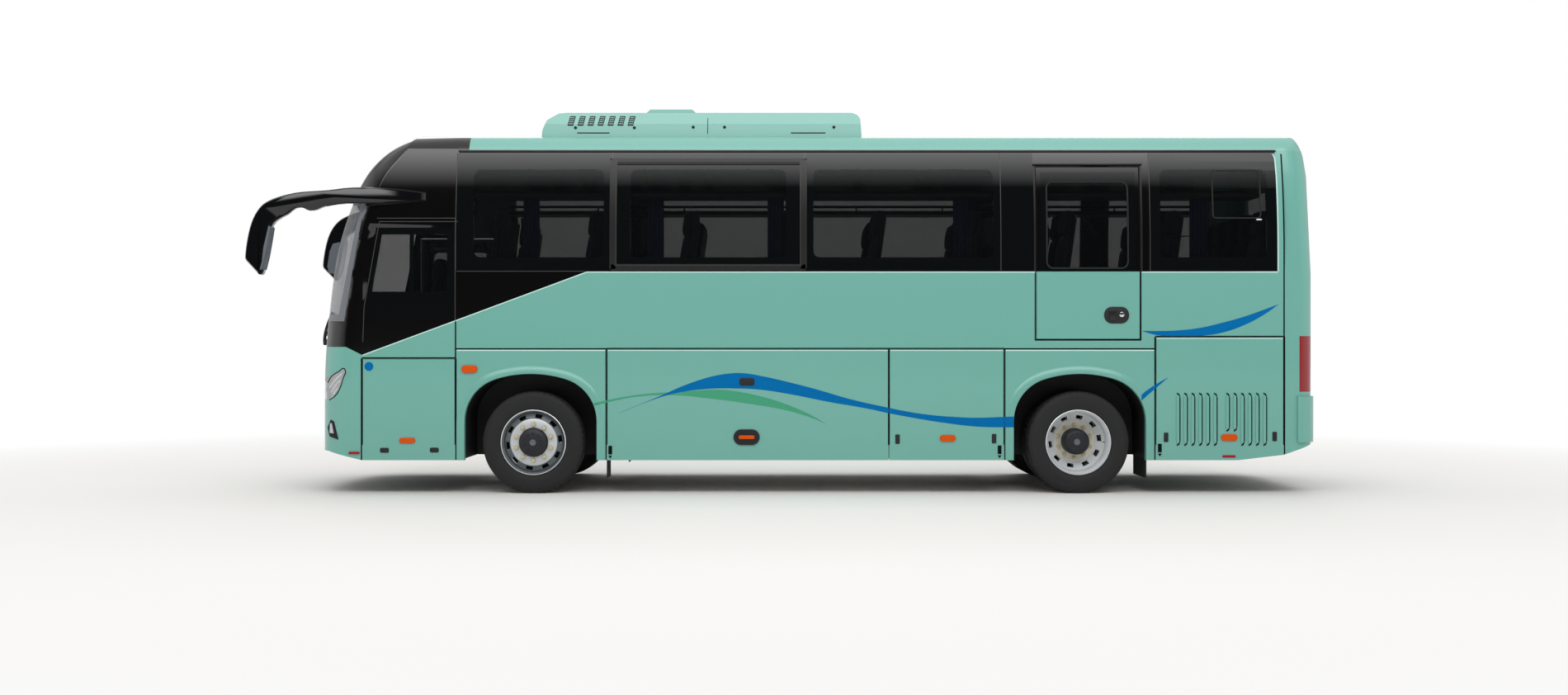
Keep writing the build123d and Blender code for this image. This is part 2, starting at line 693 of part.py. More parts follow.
eye_half = 16                   # half height of the track rod's eyes
web_y = (kingpin_y + eye_radius + web_gap, kingpin_y + eye_radius + web_gap + web_thick)
ear_low = (eye_z[0] - side_clearance - ear_height, eye_z[0] - side_clearance)
ear_high = (eye_z[1] + side_clearance, eye_z[1] + side_clearance + ear_height)
arm_z = (ear_low[0], ear_low[0] + steer_arm_thick)
spindle_end = wheel_y + hub_depth - 8


def knuckle(side):
    """Yoke, kingpin, spindle and steering arm of one front wheel."""
    x, y = front_axle_x, side * kingpin_y
    across = (x - eye_radius, x + eye_radius)
    pieces = [
        block(across, side_range(side, *web_y), (ear_low[0], ear_high[1])),
        upright_rod(x, y, (ear_low[0], ear_high[1]), kingpin_radius),
        rod((x, side * web_y[0], axle_z), (x, side * spindle_end, axle_z), spindle_radius),
        block((x, x + steer_arm), (y - steer_arm_half, y + steer_arm_half), arm_z),
        upright_rod(x + steer_arm, y, arm_z, track_eye_radius),
        upright_rod(x + steer_arm, y, (arm_z[0], track_rod_z + eye_half + 8), track_pin_radius),
    ]
    for ear in (ear_low, ear_high):
        pieces.append(upright_rod(x, y, ear, eye_radius))
        pieces.append(block(across, side_range(side, kingpin_y, web_y[0]), ear))
    return fuse(pieces)


parts["left_knuckle"] = knuckle(-1)
parts["right_knuckle"] = knuckle(1)

rod_x = front_axle_x + steer_arm
track_rod = rod((rod_x, -kingpin_y, track_rod_z), (rod_x, kingpin_y, track_rod_z), track_rod_radius)
eye_reach = (track_rod_z - eye_half, track_rod_z + eye_half)
for y, play in ((-kingpin_y, running), (kingpin_y, open_pivot_gap)):
    track_rod += upright_rod(rod_x, y, eye_reach, track_eye_radius)
    track_rod -= upright_rod(rod_x, y, (0, 2 * axle_z), track_pin_radius + play)
parts["tie_rod"] = track_rod

rear_tube_y = wheel_y - twin_pitch / 2 - hub_depth - 8
rear_spindle_y = wheel_y + 10
rear_axle = fuse([
    rod((rear_axle_x, -rear_tube_y, axle_z), (rear_axle_x, rear_tube_y, axle_z), rear_tube_radius),
    rod((rear_axle_x, -rear_spindle_y, axle_z), (rear_axle_x, rear_spindle_y, axle_z), rear_spindle_radius),
    Pos(rear_axle_x, 0, axle_z) * Sphere(final_drive_radius),
])
seat_x, seat_half, seat_high = spring_seat
for y in (-spring_y, spring_y):
    rear_axle += block((rear_axle_x - seat_x, rear_axle_x + seat_x), (y - seat_half, y + seat_half),
                       (axle_z, axle_z + seat_high))
parts["rear_axle"] = rear_axle
parts["air_springs"] = both_sides(group([
    upright_rod(front_axle_x, -spring_y, (beam_z[1], front_rail_z[0]), spring_radius),
    upright_rod(rear_axle_x, -spring_y, (axle_z + seat_high, rear_rail_z[0]), spring_radius),
]))

# (radius, distance outboard of the rim's centre plane)
rim_base_radius = rim_radius - 14
rim_lip_thick = 8
rim_section = [
    (rim_base_radius, -rim_half), (rim_lip_radius, -rim_half), (rim_lip_radius, -rim_half + rim_lip_thick),
    (rim_radius, -rim_half + rim_lip_thick + 2), (rim_radius, rim_half - rim_lip_thick - 2),
    (rim_lip_radius, rim_half - rim_lip_thick), (rim_lip_radius, rim_half), (rim_base_radius, rim_half),
]
tyre_bead = rim_half - rim_lip_thick - 2.3
bead_radius = rim_lip_radius + 1
widest_radius = tyre_radius - 90
# Each row of a sidewall: arc's middle radius and inset, then its end radius and inset.
sidewall = [
    (bead_radius + 30, 7, widest_radius, 0),
    (tyre_radius - 47, 3, tyre_radius - 19, 12),
    (tyre_radius - 7, 19, tyre_radius - 3, 32),
]


def tyre(y):
    """One tyre, its tread plain, centred on y."""
    def at(radius, u):
        return (radius, y + u, 0)
    edges = [Line(at(rim_radius, -tyre_bead), at(rim_radius, tyre_bead))]
    for side in (-1, 1):
        edges.append(Line(at(rim_radius, side * tyre_bead), at(bead_radius, side * tyre_bead)))
        start = at(bead_radius, side * tyre_bead)
        for middle_radius, middle_inset, end_radius, end_inset in sidewall:
            end = at(end_radius, side * (tyre_half - end_inset))
            edges.append(ThreePointArc(start, at(middle_radius, side * (tyre_half - middle_inset)), end))
            start = end
    tread_edge = tyre_half - sidewall[-1][3]
    crown_edge = tyre_radius - 3
    edges.append(ThreePointArc(at(crown_edge, -tread_edge), at(tyre_radius, 0), at(crown_edge, tread_edge)))
    return revolve(Face(Wire(edges)), axis=Axis((0, 0, 0), (0, 1, 0)), revolution_arc=360)


def placed(shape, x):
    """A wheel or tyre set on its axle."""
    return Pos(x, 0, axle_z) * shape


hand_holes = 10
hand_hole_radius = 30
front_hole_ring = 214
rear_hole_ring = 212
drum_radius = 200

# (radius, distance outboard of the wheel's centre plane)
disc_edge = rim_base_radius + 2
front_disc = [
    (rim_base_radius, 34), (disc_edge, 34), (disc_edge, 50), (disc_edge - 34, 62), (165, 88), (150, 92),
    (70, 92), (70, 78), (145, 78), (disc_edge - 38, 46),
]
front_drum = [(drum_radius - 15, -70), (drum_radius, -70), (drum_radius, 66), (drum_radius - 15, 71)]
# (radius, distance outboard of the joint between the twins)
rear_disc = [
    (rim_base_radius, 80), (disc_edge, 80), (disc_edge, 96), (disc_edge - 34, 62), (165, 14), (150, 8),
    (100, 8), (100, 0), (155, 0), (disc_edge - 30, 50),
]
rear_spacer = [(100, -2), (150, -2), (150, 2), (100, 2)]


def with_hand_holes(wheel, centre_y, ring):
    """A wheel with its ring of hand holes cut through the discs."""
    punch = rod((ring, centre_y - hub_depth, 0), (ring, centre_y + hub_depth, 0), hand_hole_radius)
    for k in range(hand_holes):
        wheel -= Rot(0, 360 / hand_holes * (k + 0.5), 0) * punch
    return wheel


def front_wheel(side):
    """Steel wheel with its disc bulging outwards, hub and drum."""
    def ring(points):
        return turned([(r, side * u) for r, u in points], side * wheel_y)
    bore = spindle_radius + running
    hub = [(bore, -hub_depth + 20), (75, -hub_depth + 20), (75, 118), (60, 132), (0, 136),
           (0, hub_depth), (bore, hub_depth)]
    disc = with_hand_holes(ring(front_disc), side * wheel_y, front_hole_ring)
    return placed(fuse([ring(rim_section), disc, ring(hub), ring(front_drum)]), front_axle_x)


def rear_wheels(side):
    """Twin wheels bolted back to back on one hub."""
    centre, half = wheel_y - twin_pitch / 2, twin_pitch / 2

    def ring(points, shift=0):
        return turned([(r, side * u) for r, u in points], side * (centre + shift))
    bore = rear_spindle_radius + running
    hub = [(bore, -hub_depth), (110, -hub_depth), (110, 150), (92, 178), (0, 182),
           (0, half + 18), (bore, half + 18)]
    pieces = [ring(rim_section, half), ring(rim_section, -half), ring(hub), ring(rear_spacer)]
    for way in (-1, 1):
        disc = ring([(r, way * u) for r, u in rear_disc])
        pieces.append(with_hand_holes(disc, side * centre, rear_hole_ring))
    return placed(fuse(pieces), rear_axle_x)


for side, name in ((-1, "left"), (1, "right")):
    parts[f"front_{name}_wheel"] = front_wheel(side)
    parts[f"front_{name}_tyre"] = placed(tyre(side * wheel_y), front_axle_x)
    parts[f"rear_{name}_wheels"] = rear_wheels(side)
    parts[f"rear_{name}_tyres"] = group([
        placed(tyre(side * wheel_y), rear_axle_x),
        placed(tyre(side * (wheel_y - twin_pitch)), rear_axle_x),
    ])

# ---------------------------------------------------------------- doors and flaps
hinge_seam = 0.6                # a leaf turns on its outer corner

# Each row: name, kerb side too, x from, x to, top z.
flap_table = [
    ("luggage_door_long", True, front_arch_rear_x, luggage_split_x, panel_top_z),
    ("luggage_door_short", True, luggage_split_x, luggage_rear_x, panel_top_z),
    ("engine_flap", True, engine_flap_x, rear_joint_x, engine_flap_top_z),
    ("service_flap", False, mask_joint_x, front_joint_x, service_flap_top_z),
]
for name, kerb_too, x_low, x_high, top in flap_table:
    leaf = block((x_low + seam / 2, x_high - seam / 2), outer_y, (skirt_z, top - hinge_seam))
    leaf = leaf - under_skirt
    parts["left_" + name] = leaf
    if kerb_too:
        parts["right_" + name] = mirror(leaf, about=Plane.XZ)

# emergency door, hinged at its front edge
leaf_x = (emergency_x[0] + hinge_seam, emergency_x[1] - seam)
leaf_z = (emergency_z[0] + seam, emergency_z[1] - seam)
leaf = wall_strip(-1, (0, wall), leaf_x, leaf_z)
pane = wall_strip(-1, (0, glass), *emergency_pane)
leaf -= pane
leaf -= rounded_window(emergency_window_x, emergency_window_z, window_corner, *side_range(-1))
parts["emergency_door"] = leaf
parts["emergency_door_glass"] = pane

# passenger door: the leaf stays parallel to the body on a swinging arm
arm_length = 600
column_x = door_x[0] + 60
column_y = body_half_width - 110
column_radius = 28
column_foot_gap = 0.3
leaf_pin_x = column_x + arm_length
leaf_pin_radius = 12
arm_eye_radius = 24
arm_half = 14
arm_high = 40
lug_half = 30
lug_thick = 12
low_arm_z = door_z[0] + 220
high_arm_z = door_z[1] - 100
door_arm_z = ((low_arm_z, low_arm_z + arm_high), (high_arm_z, high_arm_z + arm_high))
leaf_x = (door_x[0] + seam, door_x[1] - seam)
leaf_z = (door_z[0] + seam, door_z[1] - seam)
kerb_side = side_range(1)
leaf = front_shell & block(leaf_x, kerb_side, leaf_z)
pane = front_glass & rounded_window(*door_pane, door_pane_corner, *kerb_side)
leaf = leaf - pane - rounded_window(*door_clear, window_corner, *kerb_side)
lug_x = (leaf_pin_x - lug_half, leaf_pin_x + lug_half)
lug_y = (column_y - lug_half, body_half_width - wall + cap_over)
arms = upright_rod(column_x, column_y, (door_z[0] + column_foot_gap, door_arm_z[1][1] + 30), column_radius)
for low, high in door_arm_z:
    for z in ((low - lug_thick, low - side_clearance), (high + side_clearance, high + lug_thick)):
        leaf += block(lug_x, lug_y, z)
    leaf += upright_rod(leaf_pin_x, column_y, (low - lug_thick, high + lug_thick), leaf_pin_radius)
    arms += block((column_x, leaf_pin_x), (column_y - arm_half, column_y + arm_half), (low, high))
    arms += upright_rod(leaf_pin_x, column_y, (low, high), arm_eye_radius)
    arms -= upright_rod(leaf_pin_x, column_y, (low - 1, high + 1), leaf_pin_radius + running)
parts["passenger_door"] = leaf
parts["passenger_door_glass"] = pane
parts["passenger_door_arms"] = arms

# engine door in the tail, hinged at its top edge
engine_door_y = (-engine_door_half + seam, engine_door_half - seam)
engine_leaf_z = (engine_door_z[0] + seam, engine_door_z[1] - hinge_seam)
parts["engine_door"] = rear_shell & block(behind, engine_door_y, engine_leaf_z)

# ---------------------------------------------------------------- inside
driver_y = -650
driver_seat_x = mask_joint_x + 550      # back of the driver's seat
dash_x = (platform_x[0] + 10, platform_x[0] + 240)
dash_y = (driver_y - 330, driver_y + 400)
dash_z = (platform_z, platform_z + 580)
wheel_centre = Vector(driver_seat_x - 570, driver_y, platform_z + 740)
wheel_tilt = math.radians(30)
wheel_axis = Vector(math.sin(wheel_tilt), 0, math.cos(wheel_tilt))
hand_wheel_radius = 225
hand_wheel_bar = 14
shaft_radius = 15
spoke_radius = 9
column_tube_radius = 36


def on_column(distance):
    """A point of the steering column's line, above or below the wheel's centre."""
    return tuple(wheel_centre + wheel_axis * distance)


shaft_foot = -240
dash = block(dash_x, dash_y, dash_z) & front_room
dash += rod(on_column(-520), on_column(-60), column_tube_radius)
dash -= rod(on_column(shaft_foot - 10), on_column(0), shaft_radius + running)
parts["dashboard"] = dash
wheel_plane = Plane(origin=tuple(wheel_centre), x_dir=(0, 1, 0), z_dir=tuple(wheel_axis))
hand_wheel = rod(on_column(-40), on_column(15), 50) + rod(on_column(shaft_foot), on_column(0), shaft_radius)
for angle in (0, 120, 240):
    turn = math.radians(angle)
    out = wheel_plane.x_dir * math.cos(turn) + wheel_plane.y_dir * math.sin(turn)
    spoke_ends = [tuple(wheel_centre + out * reach) for reach in (30, hand_wheel_radius)]
    hand_wheel += rod(*spoke_ends, spoke_radius)
parts["steering_wheel"] = hand_wheel + wheel_plane * Torus(hand_wheel_radius, hand_wheel_bar)

seat_pitch = 870
seat_first_x = front_joint_x + 329      # back of the first row
seat_rows = 7
last_row_x = emergency_x[1] + 295       # leaves the way to the emergency door free
seat_depth = 450
seat_back = 110
seat_lean = 120
cushion_z = (330, 450)          # above the floor
seat_top = 1290                 # above the floor
aisle_half = 310
seat_outer_y = body_half_width - wall - 25
bench_x = floor_rear_x - 110
driver_seat_half = 240


def seat(back_x, floor, y):
    """A seat in side view: cushion, leaning back and a pedestal."""
    front = back_x - seat_depth - seat_back
    under, over = floor + cushion_z[0], floor + cushion_z[1]
    back_foot = back_x - seat_back
    return side_prism([
        (front, under), (front + 120, under), (front + 160, floor), (back_foot - 60, floor),
        (back_foot - 60, under), (back_x - 20, under), (back_x + seat_lean, floor + seat_top),
        (back_foot + seat_lean, floor + seat_top), (back_foot, over), (front, over),
    ], *y)


seats = []
for back_x in [seat_first_x + row * seat_pitch for row in range(seat_rows)] + [last_row_x]:
    for side in (-1, 1):
        seats.append(seat(back_x, floor_z, side_range(side, aisle_half, seat_outer_y)))
seats.append(seat(bench_x, floor_z, (-seat_outer_y, seat_outer_y)))
seats.append(seat(driver_seat_x, platform_z, (driver_y - driver_seat_half, driver_y + driver_seat_half)))
parts["seats"] = group(seats)

rack_inner_y = body_half_width - 440
rack_z = (2700, 2740)
rack_x = (front_joint_x + 129, rear_joint_x - 201)
rack = block(rack_x, (rack_inner_y, outside_y), rack_z) & body_prism(wall, *rack_x, platform_z)
parts["luggage_racks"] = both_sides(rack)

# ---------------------------------------------------------------- outside fittings
unit_x = (front_axle_x + 39, front_axle_x + 3007)
unit_half = 950
unit_rise = roof_top_z + 177
unit_foot = roof_top_z - 86
bump_x = (unit_x[0] + 951, unit_x[0] + 1441)
bump_half = 850
bump_high = 36
unit_outline = [
    (unit_x[0], unit_foot), (unit_x[0] + 8, unit_rise - 172), (unit_x[0] + 50, unit_rise - 72),
    (unit_x[0] + 150, unit_rise - 8), (unit_x[0] + 220, unit_rise), (unit_x[1] - 90, unit_rise),
    (unit_x[1] - 40, unit_rise - 20), (unit_x[1] - 14, unit_rise - 60), (unit_x[1], unit_foot),
]
half_section = [(unit_half, unit_foot), (unit_half, unit_rise - 112), (unit_half - 90, unit_rise + bump_high)]
unit_section = half_section + [(-y, z) for y, z in reversed(half_section)]
bump_outline = [
    (bump_x[0], unit_rise - 10), (bump_x[0] + 50, unit_rise + bump_high),
    (bump_x[1] - 50, unit_rise + bump_high), (bump_x[1], unit_rise - 10),
]
unit = side_prism(unit_outline, -unit_half, unit_half) & front_prism(unit_section, *unit_x)
unit += side_prism(bump_outline, -bump_half, bump_half)
parts["roof_air_conditioner"] = unit - body_prism(0, *unit_x, gutter_z - wall)

# mirror: a swan-neck arm from the edge of the dome, the head hanging at its tip; X from the mask joint
mirror_side = [(mask_joint_x + x, z) for x, z in [
    (574, 2725), (280, 2778), (-70, 2778), (-285, 2750), (-500, 2732), (-620, 2709), (-745, 2666),
    (-837, 2609), (-905, 2520), (-950, 2408), (-980, 2264), (-995, 2143), (-868, 1982), (-772, 2428),
    (-644, 2528), (-572, 2581), (-450, 2590), (-285, 2625), (-18, 2640), (280, 2665),
]]
mirror_y = (1100, 1225, 1265, 1350, 1400, 1480, 1480, 1300, 1290, 1290, 1215, 1100)
mirror_x = (580, 580, 280, -420, -680, -720, -1020, -1020, -680, -420, -20, 30)
mirror_plan = [(mask_joint_x + x, -y) for x, y in zip(mirror_x, mirror_y)]
plan_face = make_face(Polyline([(x, y, belt_z - 120) for x, y in mirror_plan], close=True))
mirror_arm = side_prism(mirror_side, -outside_y, -mirror_y[0] + 100)
mirror_arm &= extrude(plan_face, amount=gutter_z - belt_z, dir=(0, 0, 1))
parts["mirrors"] = both_sides(mirror_arm - front_body)

# wipers: two arms laid on the windscreen, following its curve
wiper_gap = 6
wiper_thick = 16
wiper_arm_y = ((-700, 120), (150, 980))         # each arm's pivot and tip
wiper_pivot_z = screen_z[0] - 100
wiper_tip_rise = 200
wiper_half = 25
wiper_slant = 20
wiper_boss_radius = 22
wiper_outer = cap(-1, -wiper_gap - wiper_thick)
wiper_skin = wiper_outer - cap(-1, -wiper_gap)
wipers = []
for y_pivot, y_tip in wiper_arm_y:
    ends = ((y_pivot, wiper_pivot_z - 10), (y_tip, wiper_pivot_z - 10 + wiper_tip_rise))
    corners = [(y + way * wiper_half, z - way * wiper_slant) for (y, z), ways in zip(ends, ((-1, 1), (1, -1)))
               for way in ways]
    arm = wiper_skin & front_prism(corners, front_limit_x, mask_joint_x)
    boss_ends = [(x, y_pivot, wiper_pivot_z) for x in ahead]
    boss = rod(*boss_ends, wiper_boss_radius) & wiper_outer
    wipers.append(arm + boss - front_body)
parts["wipers"] = group(wipers)

os.makedirs("parts", exist_ok=True)
for name, shape in parts.items():
    if shape.wrapped is None or isinstance(shape, ShapeList):
        shape = Compound(children=list(shape.solids()))
    shape.label = name
    export_step(shape, os.path.join("parts", name + ".step"))
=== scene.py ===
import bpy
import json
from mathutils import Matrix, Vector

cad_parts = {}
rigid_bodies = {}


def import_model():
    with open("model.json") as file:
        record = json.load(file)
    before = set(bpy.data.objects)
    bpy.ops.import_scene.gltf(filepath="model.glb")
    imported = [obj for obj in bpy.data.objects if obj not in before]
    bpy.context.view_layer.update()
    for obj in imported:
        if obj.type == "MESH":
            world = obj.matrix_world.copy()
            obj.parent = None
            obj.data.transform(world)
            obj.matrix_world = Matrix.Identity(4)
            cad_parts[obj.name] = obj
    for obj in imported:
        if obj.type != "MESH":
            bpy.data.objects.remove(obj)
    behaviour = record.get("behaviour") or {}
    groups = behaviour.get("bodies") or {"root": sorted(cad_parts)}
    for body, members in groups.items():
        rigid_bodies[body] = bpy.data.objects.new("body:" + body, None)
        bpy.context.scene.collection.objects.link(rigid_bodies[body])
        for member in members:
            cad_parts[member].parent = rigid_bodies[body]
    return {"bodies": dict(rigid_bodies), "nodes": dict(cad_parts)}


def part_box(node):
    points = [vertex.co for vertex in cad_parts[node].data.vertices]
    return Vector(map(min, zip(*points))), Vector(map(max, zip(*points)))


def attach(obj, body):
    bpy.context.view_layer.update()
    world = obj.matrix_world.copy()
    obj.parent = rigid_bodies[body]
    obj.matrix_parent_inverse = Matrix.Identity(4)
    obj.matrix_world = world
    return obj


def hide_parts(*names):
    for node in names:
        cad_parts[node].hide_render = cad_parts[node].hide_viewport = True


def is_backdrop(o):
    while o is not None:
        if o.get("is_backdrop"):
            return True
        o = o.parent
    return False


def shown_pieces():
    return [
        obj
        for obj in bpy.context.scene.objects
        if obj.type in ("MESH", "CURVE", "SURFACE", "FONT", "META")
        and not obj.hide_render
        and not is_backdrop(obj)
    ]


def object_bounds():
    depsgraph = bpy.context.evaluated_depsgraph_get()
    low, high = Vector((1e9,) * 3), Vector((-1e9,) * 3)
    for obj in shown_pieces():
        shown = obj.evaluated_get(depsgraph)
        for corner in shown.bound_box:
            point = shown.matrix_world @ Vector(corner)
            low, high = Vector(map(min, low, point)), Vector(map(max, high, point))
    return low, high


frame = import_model()

import json
import logging
import math
from collections.abc import Iterable, Sequence
from dataclasses import dataclass
from enum import Enum

import bmesh
import bpy
from mathutils import Matrix, Vector
from mathutils.bvhtree import BVHTree

# The looks of a high-floor touring coach, in metres, on the frame of its construction.
# It faces -X, +Y is its kerb side, +Z is up, and the ground is z = 0.

LOG = logging.getLogger("coach")
FRAME_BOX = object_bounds()

Point = tuple[float, float]
Span = tuple[float, float]
Place = tuple[float, float, float]
Row = tuple[float, float, float, float]
Line = tuple[Point, ...]
Numbers = tuple[float, ...]
Rows = tuple[tuple, ...]
Colour = tuple[int, int, int]
Socket = bpy.types.NodeSocket


class Side(Enum):
    """The two long sides: the driver's and the kerb's."""
    LEFT = -1
    RIGHT = 1

    @property
    def label(self) -> str:
        """The side's name as the names of nodes and pieces have it."""
        return self.name.lower()

    def own(self, node: str) -> str:
        """The name that a node of the left side has on this side."""
        return node.replace("left_", f"{self.label}_")


# ---- finishes
def linear(colour: Sequence[float]) -> Row:
    """Turns an sRGB colour from 0 to 255 into the renderer's linear one."""
    def channel(value: float) -> float:
        """Turns one channel."""
        share = value / 255
        return share / 12.92 if share <= 0.04045 else ((share + 0.055) / 1.055) ** 2.4
    return (*[channel(c) for c in colour[:3]], 1.0)


@dataclass(frozen=True)
class Finish:
    """A finish of one colour, with an optional fine grain."""
    name: str
    colour: Colour
    slot: str
    roughness: float = 0.5
    metallic: float = 0.0
    coat: float = 0.0
    alpha: float = 1.0
    grain: float = 0.0
    grain_scale: float = 40.0
    sheen: float = 0.0
    glow: float = 0.0
    specular: float = 0.5

    def material(self) -> bpy.types.Material:
        """Returns the finish's material, which is made once."""
        return bpy.data.materials.get(f"coach_{self.name}") or self.made()

    def made(self) -> bpy.types.Material:
        """Makes the material.

        Returns:
            The new material.
        """
        material = bpy.data.materials.new(f"coach_{self.name}")
        material.use_nodes = True
        shader = material.node_tree.nodes["Principled BSDF"]
        values = {
            "Base Color": linear(self.colour), "Roughness": self.roughness, "Metallic": self.metallic,
            "Coat Weight": self.coat, "Coat Roughness": 0.06, "Alpha": self.alpha, "Sheen Weight": self.sheen,
            "Emission Color": linear(self.colour), "Emission Strength": self.glow,
            "Specular IOR Level": self.specular,
        }
        for socket, value in values.items():
            shader.inputs[socket].default_value = value
        if self.grain:
            self.add_grain(material.node_tree, shader)
        self.paint(material.node_tree, shader)
        return material

    def add_grain(self, tree: bpy.types.NodeTree, shader: bpy.types.Node) -> None:
        """Adds a fine noise to the surface's relief.

        Args:
            tree: The material's nodes.
            shader: The node that takes the relief.
        """
        place = tree.nodes.new("ShaderNodeTexCoord")
        noise = tree.nodes.new("ShaderNodeTexNoise")
        bump = tree.nodes.new("ShaderNodeBump")
        noise.inputs["Scale"].default_value = self.grain_scale
        bump.inputs["Distance"].default_value = self.grain
        tree.links.new(place.outputs["Object"], noise.inputs["Vector"])
        tree.links.new(noise.outputs["Fac"], bump.inputs["Height"])
        tree.links.new(bump.outputs["Normal"], shader.inputs["Normal"])

    def paint(self, tree: bpy.types.NodeTree, shader: bpy.types.Node) -> None:
        """Adds a pattern of colour. A plain finish has none.

        Args:
            tree: The material's nodes.
            shader: The node that takes the colour.
        """


class Pattern:
    """Small sums on a place's coordinates, for painted patterns."""

    def __init__(self, tree: bpy.types.NodeTree, coordinates: str = "Object") -> None:
        """Starts from the place on the object, or from the direction in a world."""
        self.tree = tree
        place = tree.nodes.new("ShaderNodeTexCoord")
        parts = tree.nodes.new("ShaderNodeSeparateXYZ")
        tree.links.new(place.outputs[coordinates], parts.inputs[0])
        self.x, self.y, self.z = parts.outputs

    def sum(self, operation: str, *values: object) -> Socket:
        """Adds one Math node.

        Args:
            operation: Its operation.
            values: Sockets or numbers for its inputs.

        Returns:
            Its output.
        """
        node = self.tree.nodes.new("ShaderNodeMath")
        node.operation = operation
        for socket, value in zip(node.inputs, values):
            if isinstance(value, Socket):
                self.tree.links.new(value, socket)
            else:
                socket.default_value = value
        return node.outputs[0]

    def within(self, value: Socket, span: Span) -> Socket:
        """Is 1 where a value lies between two numbers."""
        above = self.sum("GREATER_THAN", value, span[0])
        return self.sum("MULTIPLY", above, self.sum("LESS_THAN", value, span[1]))

    def clamped(self, value: Socket, low: float = 0.0, high: float = 1.0) -> Socket:
        """Keeps a value between two numbers."""
        return self.sum("MINIMUM", self.sum("MAXIMUM", value, low), high)

    def rounded(self, window: "Window") -> Socket:
        """Is 1 inside a window's rounded corners in side view."""
        beyond = []
        for value, (low, high) in ((self.x, window.x), (self.z, window.z)):
            off = self.sum("ABSOLUTE", self.sum("SUBTRACT", value, (low + high) / 2))
            over = self.sum("SUBTRACT", off, (high - low) / 2 - window.corner)
            beyond.append(self.sum("POWER", self.sum("MAXIMUM", over, 0.0), 2.0))
        return self.sum("LESS_THAN", self.sum("ADD", *beyond), window.corner ** 2)

    def mixed(self, share: Socket, first: object, second: object) -> Socket:
        """Mixes a first colour with a second colour or socket.

        Args:
            share: How much of the second shows.
            first: The first sRGB colour, or a socket.
            second: The second sRGB colour.

        Returns:
            The mixed colour.
        """
        node = self.tree.nodes.new("ShaderNodeMix")
        node.data_type = "RGBA"
        self.tree.links.new(share, node.inputs["Factor"])
        for socket, value in ((node.inputs[6], first), (node.inputs[7], second)):
            if isinstance(value, Socket):
                self.tree.links.new(value, socket)
            else:
                socket.default_value = linear(value)
        return node.outputs[2]


@dataclass(frozen=True)
class Livery(Finish):
    """Body paint in two colours: the glass band, the wedge under it and the dome are black. Above the gutter
    the teal is lighter and bluer, a painted highlight of the roof.
    """
    black: Colour = (9, 8, 9)
    black_roughness: float = 0.08
    # Lighter, bluer teal above the gutter: a painted highlight of the roof, which faces the light.
    roof_colour: Colour = (124, 184, 172)
    belt: float = 2.02
    wedge_foot: float = 1.262
    wedge_slope: float = 0.371
    nose_slope: float = -0.5
    nose_top: float = 1.335
    mask_x: float = -3.88
    glass_end_x: float = 4.441
    roof_black_x: float = -2.924
    gutter: float = 3.127

    def paint(self, tree: bpy.types.NodeTree, shader: bpy.types.Node) -> None:
        """Paints the boundary lines by the place on the object, and the roof's painted highlight above the
        gutter.
        """
        p = Pattern(tree)
        from_mask = p.sum("SUBTRACT", p.x, self.mask_x)
        wedge = p.sum("MULTIPLY_ADD", from_mask, self.wedge_slope, self.wedge_foot)
        nose = p.sum("MULTIPLY_ADD", from_mask, self.nose_slope, self.wedge_foot)
        nose = p.sum("MINIMUM", nose, self.nose_top)
        line = p.sum("MINIMUM", p.sum("MAXIMUM", wedge, nose), self.belt)
        band = p.sum("MULTIPLY", p.sum("GREATER_THAN", p.z, line), p.sum("LESS_THAN", p.x, self.glass_end_x))
        above = p.sum("GREATER_THAN", p.z, self.gutter)
        behind = p.sum("GREATER_THAN", p.x, self.roof_black_x)
        roof = p.sum("MULTIPLY", above, behind)
        black = p.sum("MULTIPLY", band, p.sum("SUBTRACT", 1.0, roof))
        # Above the gutter the teal turns to the roof's painted highlight.
        teal = p.mixed(above, self.colour, self.roof_colour)
        tree.links.new(p.mixed(black, teal, self.black), shader.inputs["Base Color"])
        gloss = p.sum("MULTIPLY_ADD", black, self.black_roughness - self.roughness, self.roughness)
        tree.links.new(gloss, shader.inputs["Roughness"])


@dataclass(frozen=True)
class BandedLens(Finish):
    """A lamp lens with level bands of other colours, which stop short of the corner."""
    bands: tuple[tuple[float, float, Colour], ...] = ()
    band_half: float = 1.08

    def paint(self, tree: bpy.types.NodeTree, shader: bpy.types.Node) -> None:
        """Paints the bands by height."""
        p = Pattern(tree)
        middle = p.sum("LESS_THAN", p.sum("ABSOLUTE", p.y), self.band_half)
        colour: object = self.colour
        for low, high, tone in self.bands:
            share = p.sum("MULTIPLY", middle, p.within(p.z, (low, high)))
            colour = p.mixed(share, colour, tone)
        tree.links.new(colour, shader.inputs["Base Color"])


@dataclass(frozen=True)
class Window:
    """The clear part of a pane in side view."""
    x: Span
    z: Span
    corner: float


